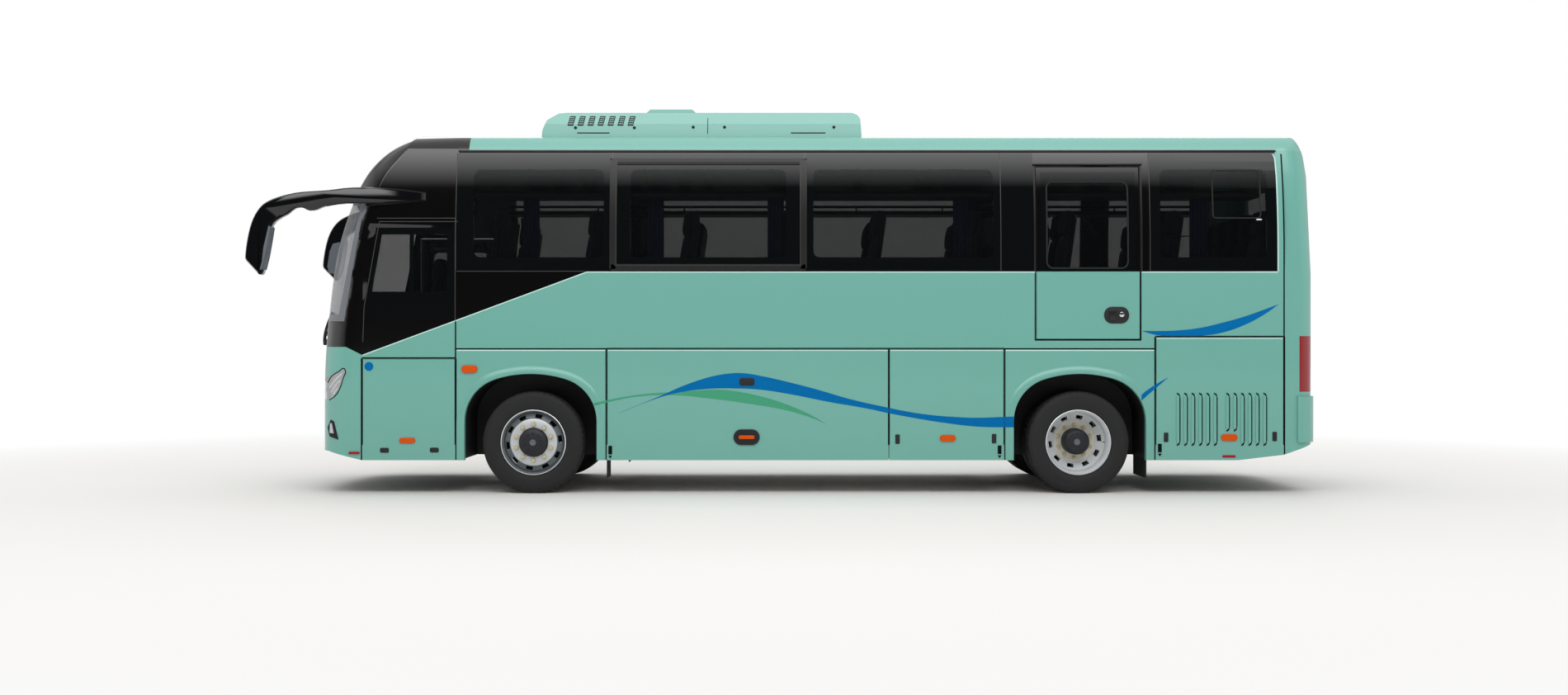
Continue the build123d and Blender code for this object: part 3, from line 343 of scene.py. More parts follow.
@dataclass(frozen=True)
class PrintedGlass(Finish):
    """Tinted glass that is printed black outside its clear windows."""
    windows: tuple[Window, ...] = ()
    slope: float = 0.172
    # The driver's window: the foot of its front edge as x and z, its height, its bar and its rear edge.
    driver_foot: Point = (-3.832, 1.648)
    driver_z: Span = (1.838, 2.361)
    driver_bar: Span = (-3.447, -3.408)
    driver_rear: float = -3.106

    def paint(self, tree: bpy.types.NodeTree, shader: bpy.types.Node) -> None:
        """Makes the glass opaque outside its windows."""
        p = Pattern(tree)
        clear = self.driver(p)
        for window in self.windows:
            clear = p.sum("MAXIMUM", clear, p.rounded(window))
        tree.links.new(p.sum("MULTIPLY_ADD", clear, self.alpha - 1, 1.0), shader.inputs["Alpha"])

    def driver(self, p: Pattern) -> Socket:
        """Is 1 inside the driver's window, whose front edge leans back."""
        foot_x, foot_z = self.driver_foot
        edge = p.sum("SUBTRACT", p.x, p.sum("MULTIPLY_ADD", p.z, self.slope, foot_x - foot_z * self.slope))
        inside = p.sum("MULTIPLY", p.sum("GREATER_THAN", edge, 0.0), p.within(p.z, self.driver_z))
        inside = p.sum("MULTIPLY", inside, p.sum("SUBTRACT", 1.0, p.within(p.x, self.driver_bar)))
        return p.sum("MULTIPLY", inside, p.sum("LESS_THAN", p.x, self.driver_rear))


@dataclass(frozen=True)
class ScreenGlass(Finish):
    """A windscreen or rear window with a printed border."""
    clear: Span = (0.0, 9.0)
    edge: Place = (9.0, 0.0, 0.0)

    def paint(self, tree: bpy.types.NodeTree, shader: bpy.types.Node) -> None:
        """Makes the glass opaque outside its clear height and behind its leaning edge."""
        p = Pattern(tree)
        start, slope, low = self.edge
        limit = p.sum("MULTIPLY_ADD", p.z, slope, start - low * slope)
        clear = p.sum("MULTIPLY", p.within(p.z, self.clear), p.sum("LESS_THAN", p.x, limit))
        tree.links.new(p.sum("MULTIPLY_ADD", clear, self.alpha - 1, 1.0), shader.inputs["Alpha"])


@dataclass(frozen=True)
class Weave(Finish):
    """Upholstery with a fine weave and slim upright stripes."""
    stripe: Colour = (32, 52, 96)
    pitch: float = 0.045
    stripe_from: float = 0.86

    def paint(self, tree: bpy.types.NodeTree, shader: bpy.types.Node) -> None:
        """Paints the stripes across the seats."""
        p = Pattern(tree)
        wave = p.sum("SINE", p.sum("MULTIPLY", p.y, math.tau / self.pitch))
        stripe = p.sum("GREATER_THAN", wave, self.stripe_from)
        tree.links.new(p.mixed(stripe, self.colour, self.stripe), shader.inputs["Base Color"])


SIDE_WINDOWS = tuple(
    Window(x, (2.148, 2.954), 0.06)
    for x in ((-2.869, -1.686), (-1.44, -0.027), (0.224, 1.861), (3.38, 4.351), (2.344, 3.083))
)
DOOR_WINDOWS = (
    Window((2.344, 3.083), (2.05, 2.841), 0.06), Window((-3.745, -3.16), (1.05, 2.33), 0.06),
)

PAINT = Livery("body_paint", (112, 178, 165), "body_paint", 0.32, coat=0.35)
# Pale teal: a painted highlight on the slim strips along panel edges, and the own colour of the front's blank
# disc.
PALE_TEAL_AND_HIGHLIGHT = Finish("edge_paint", (196, 230, 222), "body_paint", 0.3)
MINT = Finish("roof_unit_paint", (146, 196, 186), "body_paint", 0.38, coat=0.15)
BLACK = Finish("gloss_black", (10, 11, 14), "black_gloss", 0.1, coat=0.2)
SATIN = Finish("satin_black", (20, 20, 22), "trim_plastic", 0.35)
PLASTIC = Finish("moulded_plastic", (20, 20, 22), "trim_plastic", 0.55, grain=0.0006, grain_scale=600)
SEAM = Finish("dark_seam", (6, 16, 15), "black_rubber", 0.8, specular=0.1)
FRAME = Finish("window_frame", (30, 29, 29), "trim_plastic", 0.3)
# Grey lines: a painted highlight along the edges of windows and frames.
FRAME_HIGHLIGHT = Finish("window_frame_edge", (56, 54, 52), "trim_plastic", 0.4)
RUBBER = Finish("seal_rubber", (12, 12, 13), "black_rubber", 0.75)
TYRE = Finish("tyre_rubber", (22, 22, 24), "tyre_rubber", 0.72, grain=0.0008, grain_scale=90)
DISC = Finish("wheel_disc", (206, 210, 213), "wheel_steel", 0.36, metallic=0.15)
# Darker grey than the disc, on the wheel's channel and rim: painted shade of the recessed dish.
DISH_SHADE = Finish("wheel_dish", (116, 122, 126), "wheel_steel", 0.4, metallic=0.2)
CREAM_DISC = Finish("rear_wheel_disc", (238, 234, 218), "wheel_steel", 0.45)
# Grey, darker than the cream disc, on the rear channel and rim: painted shade of the recessed dish.
REAR_DISH_SHADE = Finish("rear_wheel_dish", (214, 217, 219), "wheel_steel", 0.4)
# Near white: a painted highlight on the rims' lips, and the pale metal of the vent window's catch.
PALE_METAL_AND_HIGHLIGHT = Finish("rim_lip", (236, 238, 242), "wheel_steel", 0.22, metallic=0.4)
NUT = Finish("zinc_nuts", (206, 196, 166), "wheel_steel", 0.4, metallic=0.1)
HUB = Finish("hub_cap", (24, 24, 32), "cast_metal", 0.5, grain=0.002, grain_scale=120)
HUB_MARK = Finish("hub_centre", (112, 116, 120), "cast_metal", 0.4, metallic=0.5)
STEEL = Finish("chassis_paint", (22, 22, 23), "black_steel", 0.6, grain=0.0008, grain_scale=60)
CAST = Finish("cast_parts", (54, 53, 52), "cast_metal", 0.62, metallic=0.4, grain=0.001, grain_scale=120)
CHROME = Finish("bright_reflector", (214, 218, 224), "wheel_steel", 0.14, metallic=1.0)
SILVER = Finish("lamp_silver", (188, 194, 200), "lamp_clear", 0.25, metallic=0.6)
GLASS = PrintedGlass("side_glass", (10, 13, 14), "tinted_glass", 0.03, alpha=0.56, windows=SIDE_WINDOWS)
DOOR_GLASS = PrintedGlass("door_glass", (10, 13, 14), "tinted_glass", 0.03, alpha=0.56, windows=DOOR_WINDOWS)
# The windscreen's pale grey veil is a painted reflection of the bright studio, seen at a slant.
SCREEN_REFLECTION = ScreenGlass("screen_glass", (112, 116, 122), "tinted_glass", 0.03, alpha=0.34,
                     clear=(1.632, 2.66), edge=(-4.1, 0.2, 1.63))
REAR_GLASS = ScreenGlass("rear_glass", (10, 13, 14), "tinted_glass", 0.03, alpha=0.6, clear=(2.13, 2.89))
LENS = Finish("clear_lens", (222, 228, 232), "lamp_clear", 0.05, alpha=0.5)
MIRROR = Finish("mirror_glass", (176, 186, 196), "wheel_steel", 0.08, metallic=0.7)
AMBER = Finish("amber_lens", (220, 84, 6), "lamp_red", 0.3, specular=0.15)
RED = Finish("red_lens", (172, 30, 38), "lamp_red", 0.3, specular=0.2)
TAIL = BandedLens("tail_lens", (146, 16, 24), "lamp_red", 0.2, coat=0.2,
                  bands=((1.1, 1.18, (214, 104, 40)), (1.03, 1.09, (206, 210, 212))))
WHITE_PLATE = Finish("blank_plate", (214, 214, 208), "lamp_clear", 0.45)
BLUE = Finish("stripe_blue", (0, 108, 172), "body_paint", 0.5, specular=0.06)
GREEN = Finish("stripe_green", (54, 158, 118), "body_paint", 0.35, coat=0.2)
FLOORING = Finish("floor_vinyl", (58, 58, 62), "floor_covering", 0.6, grain=0.0006, grain_scale=300)
LINING = Finish("grey_lining", (146, 146, 142), "bay_lining", 0.8, grain=0.001, grain_scale=400)
# Dark grey: painted shade of the cabin's ceiling, seen dim through the windows.
CEILING_SHADE = Finish("grey_ceiling", (60, 60, 60), "bay_lining", 0.7)
FABRIC = Weave("seat_weave", (22, 26, 38), "seat_fabric", 0.9, sheen=0.2, grain=0.0012, grain_scale=500)
CURTAIN = Finish("blue_curtain", (14, 36, 100), "seat_fabric", 0.9, sheen=0.2, grain=0.0008, grain_scale=700)
HANDRAIL = Finish("grab_rail", (120, 112, 70), "wheel_steel", 0.35)

LONG_DOOR, SHORT_DOOR = "left_luggage_door_long", "left_luggage_door_short"
ENGINE_FLAP, SERVICE_FLAP = "left_engine_flap", "left_service_flap"
NODES_OF_FINISH = (
    (PAINT, """arch_panels left_side_wall right_side_wall roof front_panel front_dome rear_panel rear_bumper
               left_luggage_door_long right_luggage_door_long left_luggage_door_short
               right_luggage_door_short left_engine_flap right_engine_flap left_service_flap
               emergency_door passenger_door engine_door windscreen_surround"""),
    (STEEL, "wheel_housings chassis_frame passenger_door_arms"),
    (DOOR_GLASS, "emergency_door_glass passenger_door_glass"),
    (CAST, "front_axle left_knuckle right_knuckle tie_rod rear_axle engine_block"),
    (RUBBER, "mud_flaps air_springs"), (GLASS, "side_windows"), (SCREEN_REFLECTION, "windscreen"),
    (REAR_GLASS, "rear_window"), (LENS, "front_lamps"), (TAIL, "tail_lamps"), (BLACK, "mirrors"),
    (FLOORING, "cabin_floor entry_steps"), (LINING, "luggage_bay"), (MINT, "roof_air_conditioner"),
)
NODE_FINISHES = {node: finish for finish, nodes in NODES_OF_FINISH for node in nodes.split()}


# ---- the coach's own places
@dataclass(frozen=True)
class Layout:
    """The driving places, taken from the frame."""
    half_width: float
    front_joint_x: float
    rear_joint_x: float
    mask_x: float
    panel_top: float
    skirt: float
    front_axle_x: float
    rear_axle_x: float
    axle_z: float
    shoulder: float = 2.2
    side_radius: float = 4.2
    belt: float = 2.02
    gutter: float = 3.13

    @staticmethod
    def from_frame() -> "Layout":
        """Reads the places from the frame's boxes.

        Returns:
            The layout.
        """
        roof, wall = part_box("roof"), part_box("left_side_wall")
        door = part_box("left_luggage_door_long")
        front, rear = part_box("front_left_tyre"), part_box("rear_left_tyres")
        return Layout(
            half_width=-wall[0].y, front_joint_x=roof[0].x, rear_joint_x=roof[1].x, mask_x=wall[0].x,
            panel_top=door[1].z, skirt=door[0].z, front_axle_x=(front[0].x + front[1].x) / 2,
            rear_axle_x=(rear[0].x + rear[1].x) / 2, axle_z=(front[0].z + front[1].z) / 2,
        )

    def side_y(self, height: float) -> float:
        """The distance from the centre plane to the side's skin at a height."""
        rise = min(max(height, self.shoulder), self.gutter + 0.05) - self.shoulder
        return self.half_width - self.side_radius + math.sqrt(self.side_radius ** 2 - rise ** 2)


LAYOUT = Layout.from_frame()
# Heights at which what lies on the curved glass band is cut, so that it can bend with it.
BENDS = tuple(2.2 + 0.08 * k for k in range(1, 11))
# Turns what is drawn flat upright, to be seen from the side.
UPRIGHT = Matrix.Rotation(math.radians(90), 4, "X")


class End(Enum):
    """The two ends of the coach."""
    NOSE = -1
    TAIL = 1


class Skin:
    """The outer surface of some nodes or pieces, for laying shapes on."""
    reach = 1.8

    def __init__(self, *sources: str | bpy.types.Object) -> None:
        """Gathers the faces of some nodes or pieces into one tree."""
        gathered = bmesh.new()
        for source in sources:
            gathered.from_mesh((frame["nodes"][source] if isinstance(source, str) else source).data)
        self.tree = BVHTree.FromBMesh(gathered)
        gathered.free()

    def hit(self, start: Place, way: Place) -> tuple[Vector, Vector]:
        """Finds the first place met on a straight way.

        Args:
            start: Where the way starts.
            way: Its direction.

        Returns:
            The place and the skin's normal there.
        """
        place, normal, _, _ = self.tree.ray_cast(Vector(start), Vector(way))
        if place is None:
            inside = Vector(start) + Vector(way).normalized() * self.reach
            place, normal, _, _ = self.tree.find_nearest(inside)
        return place, normal if normal.dot(Vector(way)) < 0 else -normal


# ---- shapes
def shown(name: str, data: bpy.types.ID) -> bpy.types.Object:
    """Makes an object of some data and puts it in the scene."""
    made = bpy.data.objects.new(name, data)
    bpy.context.scene.collection.objects.link(made)
    return made


class Shape:
    """A mesh in the making. Its methods add to it or shape it, and give it back."""

    def __init__(self) -> None:
        """Starts empty."""
        self.mesh = bmesh.new()

    def rounded(self, vertices: Iterable[bmesh.types.BMVert], radius: float, segments: int,
                along: Vector | None = None) -> None:
        """Rounds the edges of some vertices.

        Args:
            vertices: The vertices whose edges are rounded.
            radius: The radius.
            segments: The number of steps.
            along: If given, only edges along this direction.
        """
        edges = {e for v in vertices for e in v.link_edges}
        if along is not None:
            edges = {e for e in edges if abs((e.verts[0].co - e.verts[1].co).normalized().dot(along)) > 0.99}
        self.bevelled(list(edges), radius, segments)

    def bevelled(self, geometry: list, radius: float, segments: int = 2, affect: str = "EDGES") -> None:
        """Bevels some edges or corners."""
        bmesh.ops.bevel(self.mesh, geom=geometry, offset=radius, offset_type="OFFSET", affect=affect,
                        segments=segments, profile=0.5, material=-1, clamp_overlap=affect == "EDGES")

    def block(self, x: Span, y: Span, z: Span) -> list[bmesh.types.BMVert]:
        """Adds a plain box and returns its corners."""
        centre, size = zip(*[((a + b) / 2, abs(b - a)) for a, b in (x, y, z)])
        place = Matrix.LocRotScale(centre, None, size)
        return bmesh.ops.create_cube(self.mesh, size=1, matrix=place)["verts"]

    def box(self, x: Span, y: Span, z: Span, radius: float = 0.0, segments: int = 2) -> "Shape":
        """Adds a box, with its edges rounded if a radius is given.

        Args:
            x, y, z: Its lowest and highest place along each axis.
            radius: The radius of its edges.
            segments: The number of steps in each rounding.

        Returns:
            This shape.
        """
        corners = self.block(x, y, z)
        if radius:
            self.rounded(corners, radius, segments)
        return self

    def pad(self, x: Span, y: Span, z: Span, corner: float, edge: float = 0.0) -> "Shape":
        """Adds a plate seen from the side, with rounded corners.

        Args:
            x, y, z: Its lowest and highest place along each axis.
            corner: The radius of its corners in side view.
            edge: The radius of its outer edge.

        Returns:
            This shape.
        """
        part = Shape()
        fitting = min(corner, (x[1] - x[0]) / 2.01, (z[1] - z[0]) / 2.01)
        part.rounded(part.block(x, y, z), fitting, 6, Vector((0, 1, 0)))
        if edge:
            rim = [e for e in part.mesh.edges
                   if len(e.link_faces) == 2 and e.calc_face_angle(0) > 1.2
                   and abs((e.verts[0].co - e.verts[1].co).y) < 1e-6]
            part.bevelled(rim, edge)
        return self.add(part)

    def frame(self, x: Span, y: Span, z: Span, corner: float, width: float) -> "Shape":
        """Adds a flat ring with rounded corners, seen from the side.

        Args:
            x, y, z: Its lowest and highest place along each axis.
            corner: The radius of its outer corners.
            width: The width of its bars.

        Returns:
            This shape.
        """
        part = Shape()
        middle = Vector(((x[0] + x[1]) / 2, y[0], (z[0] + z[1]) / 2))
        place = Matrix.Translation(middle) @ UPRIGHT @ Matrix.Diagonal((x[1] - x[0], z[1] - z[0], 1, 1))
        made = bmesh.ops.create_grid(part.mesh, x_segments=1, y_segments=1, size=0.5, matrix=place)
        part.bevelled(made["verts"], corner, 6, "VERTICES")
        bmesh.ops.inset_region(part.mesh, faces=part.mesh.faces[:], thickness=width, use_boundary=True,
                               use_even_offset=True)
        inside = min(part.mesh.faces, key=lambda face: (face.calc_center_median() - middle).length)
        bmesh.ops.delete(part.mesh, geom=[inside], context="FACES_ONLY")
        part.thicken(Vector((0, y[1] - y[0], 0)))
        return self.add(part)

    def thicken(self, way: Vector) -> "Shape":
        """Extrudes every face along a way, into a closed solid."""
        made = bmesh.ops.extrude_face_region(self.mesh, geom=self.mesh.faces[:])
        moved = [v for v in made["geom"] if isinstance(v, bmesh.types.BMVert)]
        bmesh.ops.translate(self.mesh, vec=way, verts=moved)
        return self

    def rod(self, start: Place, end: Place, radius: float, end_radius: float | None = None,
            segments: int = 24, edge: float = 0.0) -> "Shape":
        """Adds a round bar or a cone between two places.

        Args:
            start: The middle of its first end.
            end: The middle of its other end.
            radius: Its radius at the start.
            end_radius: Its radius at the end, the same if left out.
            segments: The number of flats round it.
            edge: The radius of its rims.

        Returns:
            This shape.
        """
        line = Vector(end) - Vector(start)
        turn = line.to_track_quat("Z", "Y").to_matrix().to_4x4()
        place = Matrix.Translation((Vector(start) + Vector(end)) / 2) @ turn
        part = Shape()
        bmesh.ops.create_cone(part.mesh, cap_ends=True, segments=segments, radius1=radius,
                              radius2=radius if end_radius is None else end_radius,
                              depth=line.length, matrix=place)
        if edge:
            rims = [e for e in part.mesh.edges if any(len(f.verts) > 4 for f in e.link_faces)]
            part.bevelled(rims, edge)
        return self.add(part)

    def ball(self, centre: Place, radii: Place, segments: int = 20) -> "Shape":
        """Adds an ellipsoid with its middle and its three half sizes."""
        bmesh.ops.create_uvsphere(self.mesh, u_segments=segments, v_segments=segments // 2, radius=1,
                                  matrix=Matrix.LocRotScale(centre, None, radii))
        return self

    def outline(self, corners: Sequence[Point], depth: Span, edge: float = 0.0) -> "Shape":
        """Adds a flat outline, seen from the side, with a thickness.

        Args:
            corners: The outline's corners in turn, as x and z.
            depth: Its lowest and highest y.
            edge: The radius of its edges.

        Returns:
            This shape.
        """
        part = Shape()
        part.mesh.faces.new([part.mesh.verts.new((x, depth[0], z)) for x, z in corners])
        part.thicken(Vector((0, depth[1] - depth[0], 0)))
        if edge:
            part.rounded(part.mesh.verts[:], edge, 2)
        return self.add(part)

    def spun(self, profile: Sequence[Point], centre: Place, steps: int, closed: bool = False) -> "Shape":
        """Adds a profile spun round an axis along Y.

        Args:
            profile: Its (radius, y) points.
            centre: A place on the axis.
            steps: The number of steps in the full turn.
            closed: Whether the profile's last point joins its first.

        Returns:
            This shape.
        """
        part = Shape()
        points = [part.mesh.verts.new((centre[0] + r, centre[1] + y, centre[2])) for r, y in profile]
        pairs = list(zip(points, points[1:])) + ([(points[-1], points[0])] if closed else [])
        edges = [part.mesh.edges.new(pair) for pair in pairs]
        bmesh.ops.spin(part.mesh, geom=points + edges, cent=centre, axis=(0, 1, 0), angle=math.tau,
                       steps=steps, use_merge=True, use_duplicate=False)
        bmesh.ops.remove_doubles(part.mesh, verts=part.mesh.verts[:], dist=1e-6)
        return self.add(part)

    def sheet(self, profile: Sequence[Point], centre: Place, steps: int, thick: float,
              holes: tuple[int, Span] | None = None) -> "Shape":
        """Adds a pressed sheet spun round an axis along Y, with a ring of holes if wanted.

        Args:
            profile: Its (radius, y) points.
            centre: A place on the axis.
            steps: The number of steps in the full turn.
            thick: Its thickness.
            holes: The number of holes and the radii between which they lie.

        Returns:
            This shape.
        """
        part = Shape().spun(profile, centre, steps)
        if holes:
            count, (low, high) = holes
            pitch = steps // count
            cut = []
            for face in part.mesh.faces:
                off = face.calc_center_median() - Vector(centre)
                step = int(math.atan2(off.z, off.x) % math.tau / math.tau * steps)
                if low < math.hypot(off.x, off.z) < high and step % pitch < pitch * 5 // 12:
                    cut.append(face)
            bmesh.ops.delete(part.mesh, geom=cut, context="FACES")
        bmesh.ops.recalc_face_normals(part.mesh, faces=part.mesh.faces[:])
        bmesh.ops.solidify(part.mesh, geom=part.mesh.faces[:], thickness=thick)
        return self.add(part)

    def pipe(self, path: Sequence[Place], radius: float, flats: int = 8, smooth: bool = True) -> "Shape":
        """Adds a round bar along a path.

        Args:
            path: The places it passes.
            radius: Its radius.
            flats: The number of flats round it.
            smooth: Whether it curves smoothly through the places.

        Returns:
            This shape.
        """
        data = bpy.data.curves.new("path", "CURVE")
        data.dimensions = "3D"
        data.bevel_depth = radius
        data.bevel_resolution = max(flats // 4, 1)
        data.use_fill_caps = True
        data.resolution_u = 6
        spline = data.splines.new("BEZIER")
        spline.bezier_points.add(len(path) - 1)
        for point, place in zip(spline.bezier_points, path):
            point.co = place
            point.handle_left_type = point.handle_right_type = "AUTO" if smooth else "VECTOR"
        return self.add_curve(data)

    def flat(self, upper: Sequence[Point], lower: Sequence[Point], y: float) -> "Shape":
        """Adds a flat shape in side view between two smooth edges that meet at their ends.

        Args:
            upper: The (x, z) points of its upper edge, front to rear.
            lower: The (x, z) points of its lower edge, front to rear.
            y: Where it lies.

        Returns:
            This shape.
        """
        data = bpy.data.curves.new("flat", "CURVE")
        data.dimensions = "2D"
        data.fill_mode = "BOTH"
        data.resolution_u = 8
        spline = data.splines.new("BEZIER")
        outline = list(upper) + list(reversed(lower))
        ends = (0, len(upper) - 1, len(upper), len(outline) - 1)
        spline.bezier_points.add(len(outline) - 1)
        spline.use_cyclic_u = True
        for k, (point, (x, z)) in enumerate(zip(spline.bezier_points, outline)):
            point.co = (x, z, 0)
            point.handle_left_type = point.handle_right_type = "VECTOR" if k in ends else "AUTO"
        part = Shape().add_curve(data)
        place = Matrix.Translation((0, y, 0)) @ UPRIGHT
        bmesh.ops.transform(part.mesh, matrix=place, verts=part.mesh.verts[:])
        return self.add(part)

    def add_curve(self, data: bpy.types.Curve) -> "Shape":
        """Adds a curve as a mesh, and removes the curve."""
        holder = bpy.data.objects.new("holder", data)
        mesh = holder.to_mesh()
        self.mesh.from_mesh(mesh)
        holder.to_mesh_clear()
        bpy.data.objects.remove(holder)
        bpy.data.curves.remove(data)
        return self

    def loft(self, rings: Sequence[Sequence[Place]]) -> "Shape":
        """Adds a closed skin through rings of places, with both ends capped.

        Args:
            rings: Rings with the same number of places.

        Returns:
            This shape.
        """
        part = Shape()
        loops = []
        for ring in rings:
            points = [part.mesh.verts.new(place) for place in ring]
            loops.append([part.mesh.edges.new(pair) for pair in zip(points, points[1:] + points[:1])])
        for first, second in zip(loops, loops[1:]):
            bmesh.ops.bridge_loops(part.mesh, edges=first + second)
        for loop in (loops[0], loops[-1]):
            bmesh.ops.contextual_create(part.mesh, geom=loop)
        return self.add(part)

    def add(self, other: "Shape") -> "Shape":
        """Adds another shape's mesh to this one."""
        temporary = bpy.data.meshes.new("temporary")
        bmesh.ops.recalc_face_normals(other.mesh, faces=other.mesh.faces[:])
        other.mesh.to_mesh(temporary)
        self.mesh.from_mesh(temporary)
        other.mesh.free()
        bpy.data.meshes.remove(temporary)
        return self

    @staticmethod
    def of_node(node: str) -> "Shape":
        """Returns a merged copy of a node of the construction."""
        part = Shape()
        part.mesh.from_mesh(frame["nodes"][node].data)
        bmesh.ops.remove_doubles(part.mesh, verts=part.mesh.verts[:], dist=1e-5)
        return part

    def copied(self) -> "Shape":
        """Returns a copy of this shape."""
        twin = Shape()
        twin.mesh.free()
        twin.mesh = self.mesh.copy()
        return twin

    def bisected(self, axis: int, place: float, **cleared: bool) -> None:
        """Cuts every face at a place along an axis, and clears one side of the cut if that is asked."""
        normal = [float(k == axis) for k in range(3)]
        geometry = self.mesh.verts[:] + self.mesh.edges[:] + self.mesh.faces[:]
        bmesh.ops.bisect_plane(self.mesh, geom=geometry, plane_co=[place * n for n in normal],
                               plane_no=normal, **cleared)

    def sliced(self, axis: int, places: Iterable[float]) -> "Shape":
        """Cuts edges into every face at some places along an axis."""
        for place in places:
            self.bisected(axis, place)
        return self

    def kept(self, axis: int, span: Span) -> "Shape":
        """Keeps only what lies between two places along an axis."""
        self.bisected(axis, span[0], clear_inner=True)
        self.bisected(axis, span[1], clear_outer=True)
        return self

    def moved(self, way: Place) -> "Shape":
        """Moves the whole shape."""
        bmesh.ops.translate(self.mesh, vec=way, verts=self.mesh.verts[:])
        return self

    def turned(self, angle: float, axis: str, centre: Place) -> "Shape":
        """Turns the whole shape by degrees round an axis through a place."""
        bmesh.ops.rotate(self.mesh, cent=centre, matrix=Matrix.Rotation(math.radians(angle), 3, axis),
                         verts=self.mesh.verts[:])
        return self

    def flipped(self, middle: float = 0.0) -> "Shape":
        """Mirrors the whole shape in an upright plane along the coach."""
        bmesh.ops.scale(self.mesh, vec=(1, -1, 1), space=Matrix.Translation((0, -middle, 0)),
                        verts=self.mesh.verts[:])
        return self

    def facing(self, side: Side) -> "Shape":
        """Puts a shape drawn outwards along +Y on one side of the coach."""
        return self.flipped() if side is Side.LEFT else self

    def on_side(self, side: Side) -> "Shape":
        """Lays a shape whose y is its height over the skin on one side, following the skin's lean."""
        for vertex in self.mesh.verts:
            vertex.co.y = LAYOUT.side_y(vertex.co.z) + vertex.co.y
        return self.facing(side)

    def on_end(self, skin: Skin, end: End) -> "Shape":
        """Lays a shape whose x is its height over the skin on one end of the coach."""
        way = end.value
        for vertex in self.mesh.verts:
            place, _ = skin.hit((6 * way, vertex.co.y, vertex.co.z), (-way, 0, 0))
            vertex.co.x = place.x + way * vertex.co.x
        return self

    def mirrored(self) -> "Shape":
        """Adds the mirror image in the centre plane."""
        return self.add(self.copied().flipped())

    def laid(self, name: str, finish: Finish, side: Side, body: str = "root") -> bpy.types.Object:
        """Lays the shape on one side as a piece, which is named after it and rides on its own body."""
        return self.on_side(side).piece(f"{name}_{side.label}", finish, side.own(body))

    def piece(self, name: str, finish: Finish, body: str = "root", replaces: Sequence[str] = (),
              sharp: float = 35.0) -> bpy.types.Object:
        """Makes the shape a piece of the coach.

        Args:
            name: The piece's name.
            finish: Its finish.
            body: The body it rides on.
            replaces: The nodes it stands for.
            sharp: The angle in degrees from which an edge stays sharp.

        Returns:
            The piece.
        """
        bmesh.ops.recalc_face_normals(self.mesh, faces=self.mesh.faces[:])
        data = bpy.data.meshes.new(name)
        self.mesh.to_mesh(data)
        self.mesh.free()
        data.materials.append(finish.material())
        data.polygons.foreach_set("use_smooth", [True] * len(data.polygons))
        data.set_sharp_from_angle(angle=math.radians(sharp))
        piece = shown(name, data)
        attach(piece, body)
        if replaces:
            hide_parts(*replaces)
        return piece


class Assembly:
    """A named group of pieces."""

    def build(self) -> None:
        """Builds the group's pieces."""
        raise NotImplementedError

    def report(self) -> None:
        """Builds the group and reports how many pieces it added."""
        before = len(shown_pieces())
        self.build()
        LOG.info("%s: %d pieces", type(self).__name__, len(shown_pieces()) - before)


